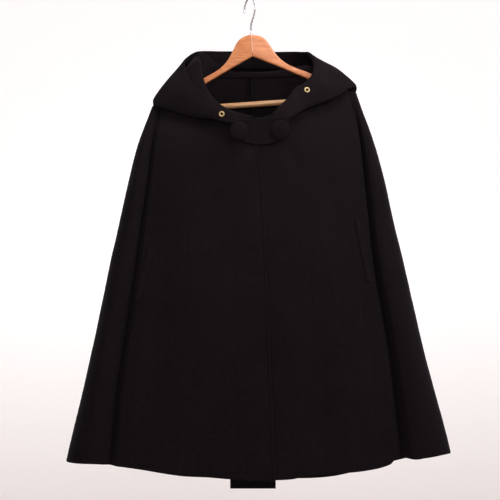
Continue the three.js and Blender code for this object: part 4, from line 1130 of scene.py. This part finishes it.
def soft_floor():
    """A pale studio floor and a pale wall well behind the garment, both glowing as painted light, with colour and
    glow painted darker towards the bottom as painted shade.
    """
    paint = Finish("pale studio paint")
    height = paint.node("ShaderNodeSeparateXYZ", {}, {0: paint.place}, out="Z")
    # Painted shade: the colour and the glow fade darker from z -0.75 down to z -1.65; the emission is painted
    # light.
    low = paint.between(height, -1.65, -0.75)
    shade = paint.mix(low, (0.66, 0.61, 0.60), (0.93, 0.92, 0.915))
    painted_glow = paint.mix(low, (0.80, 0.75, 0.74), (1.0, 0.985, 0.98))
    paint.set(Base_Color=shade, Roughness=0.92, Emission_Color=painted_glow)
    paint.set(Emission_Strength=0.36)
    for name, corners in {
        "studio_floor": [(-6, -6, -1.75), (6, -6, -1.75), (6, 3.5, -1.75), (-6, 3.5, -1.75)],
        "studio_wall": [(-6, 3.5, -1.75), (6, 3.5, -1.75), (6, 3.5, 4), (-6, 3.5, 4)],
    }.items():
        mesh = bpy.data.meshes.new(name)
        mesh.from_pydata(corners, [], [(0, 1, 2, 3)])
        mesh.materials.append(paint.material)
        made = bpy.data.objects.new(name, mesh)
        bpy.context.scene.collection.objects.link(made)


def soft_light(name, place, target, size, power, colour, spread=180):
    """A round soft lamp aimed at a target."""
    lamp = bpy.data.lights.new(name, "AREA")
    lamp.shape, lamp.size, lamp.energy, lamp.color = "DISK", size, power, colour
    lamp.spread = math.radians(spread)
    made = bpy.data.objects.new(name, lamp)
    made.location = place
    way = np.array(target, float) - place
    made.rotation_euler = (math.atan2(math.hypot(way[0], way[1]), -way[2]), 0, math.atan2(-way[0], way[1]))
    bpy.context.scene.collection.objects.link(made)


def light_and_camera():
    """Window light from the right, a weaker fill and the camera straight in front."""
    scene = bpy.context.scene
    world = bpy.data.worlds.new("pale room")
    world.use_nodes = True
    sky = world.node_tree.nodes["Background"]
    sky.inputs["Color"].default_value = (1.0, 0.985, 0.975, 1)
    sky.inputs["Strength"].default_value = 0.48
    scene.world = world
    soft_light("window_right", (1.9, -1.5, 1.0), (0.0, 0.0, -0.35), 1.0, 47, (0.97, 0.94, 1.0))
    soft_light("fill_left", (-2.4, -2.2, 0.6), (0, 0, -0.4), 2.0, 13, (1, 0.95, 0.92))
    soft_light("skylight", (0.35, -0.5, 1.3), (-0.03, 0.03, -0.12), 0.6, 3.4, (0.97, 0.94, 1.0), 70)
    soft_light("room_front", (0.3, -3.0, 0.5), (0.02, 0.05, -0.12), 0.8, 0.7, (1, 0.98, 0.96), 24)
    scene.view_settings.view_transform = "Standard"
    camera = bpy.data.cameras.new("front camera")
    camera.sensor_width = 36
    camera.lens = 36 * 2.6 / 0.95
    camera.clip_end = 30
    made = bpy.data.objects.new("front camera", camera)
    made.location = (0.00076, -2.6, -0.4769)
    made.rotation_euler = (math.pi / 2, 0, 0)
    scene.collection.objects.link(made)
    scene.camera = made


for half in HALVES.values():
    build_body(half)
add_piece("cloth_back_pleat", back_pleat(), WOOL, "back_pleat")
for name in HALVES:
    hood_and_facing(name)
for name in SLITS:
    add_piece(f"cloth_{name}", slit_welt(name), WOOL_TRIM_PAINTED_LIGHTER, name)
add_piece("cloth_neck_tab", neck_tab(), WOOL_TRIM_PAINTED_LIGHTER, "neck_tab")
for seed, name in enumerate(BUTTONS):
    add_piece(f"cloth_{name}", covered_button(name, 40 + seed), WOOL_TRIM_PAINTED_LIGHTER, name)

WOOD_PALE, WOOD_DEEP = (0.54, 0.19, 0.06), (0.36, 0.10, 0.026)
for side, name in ((-1, "hanger_arm_right"), (1, "hanger_arm_left")):
    stain = lacquered_beech(f"wood {name}", (0, side * 0.42, 0), WOOD_PALE, WOOD_DEEP)
    add_piece(f"wooden_{name}", hanger_arm(side), stain, name)
bar_stain = lacquered_beech("wood hanger bar", (0, 0.07, 0), (0.42, 0.22, 0.085), (0.28, 0.12, 0.042))
add_piece("wooden_hanger_bar", hanger_bar(), bar_stain, "hanger_bar")
wire = metal("bright wire", (0.62, 0.62, 0.64), (0.42, 0.42, 0.44), 0.18)
add_piece("wire_hanger_hook", hanger_hook(), wire, "hanger_hook")

soft_floor()
light_and_camera()
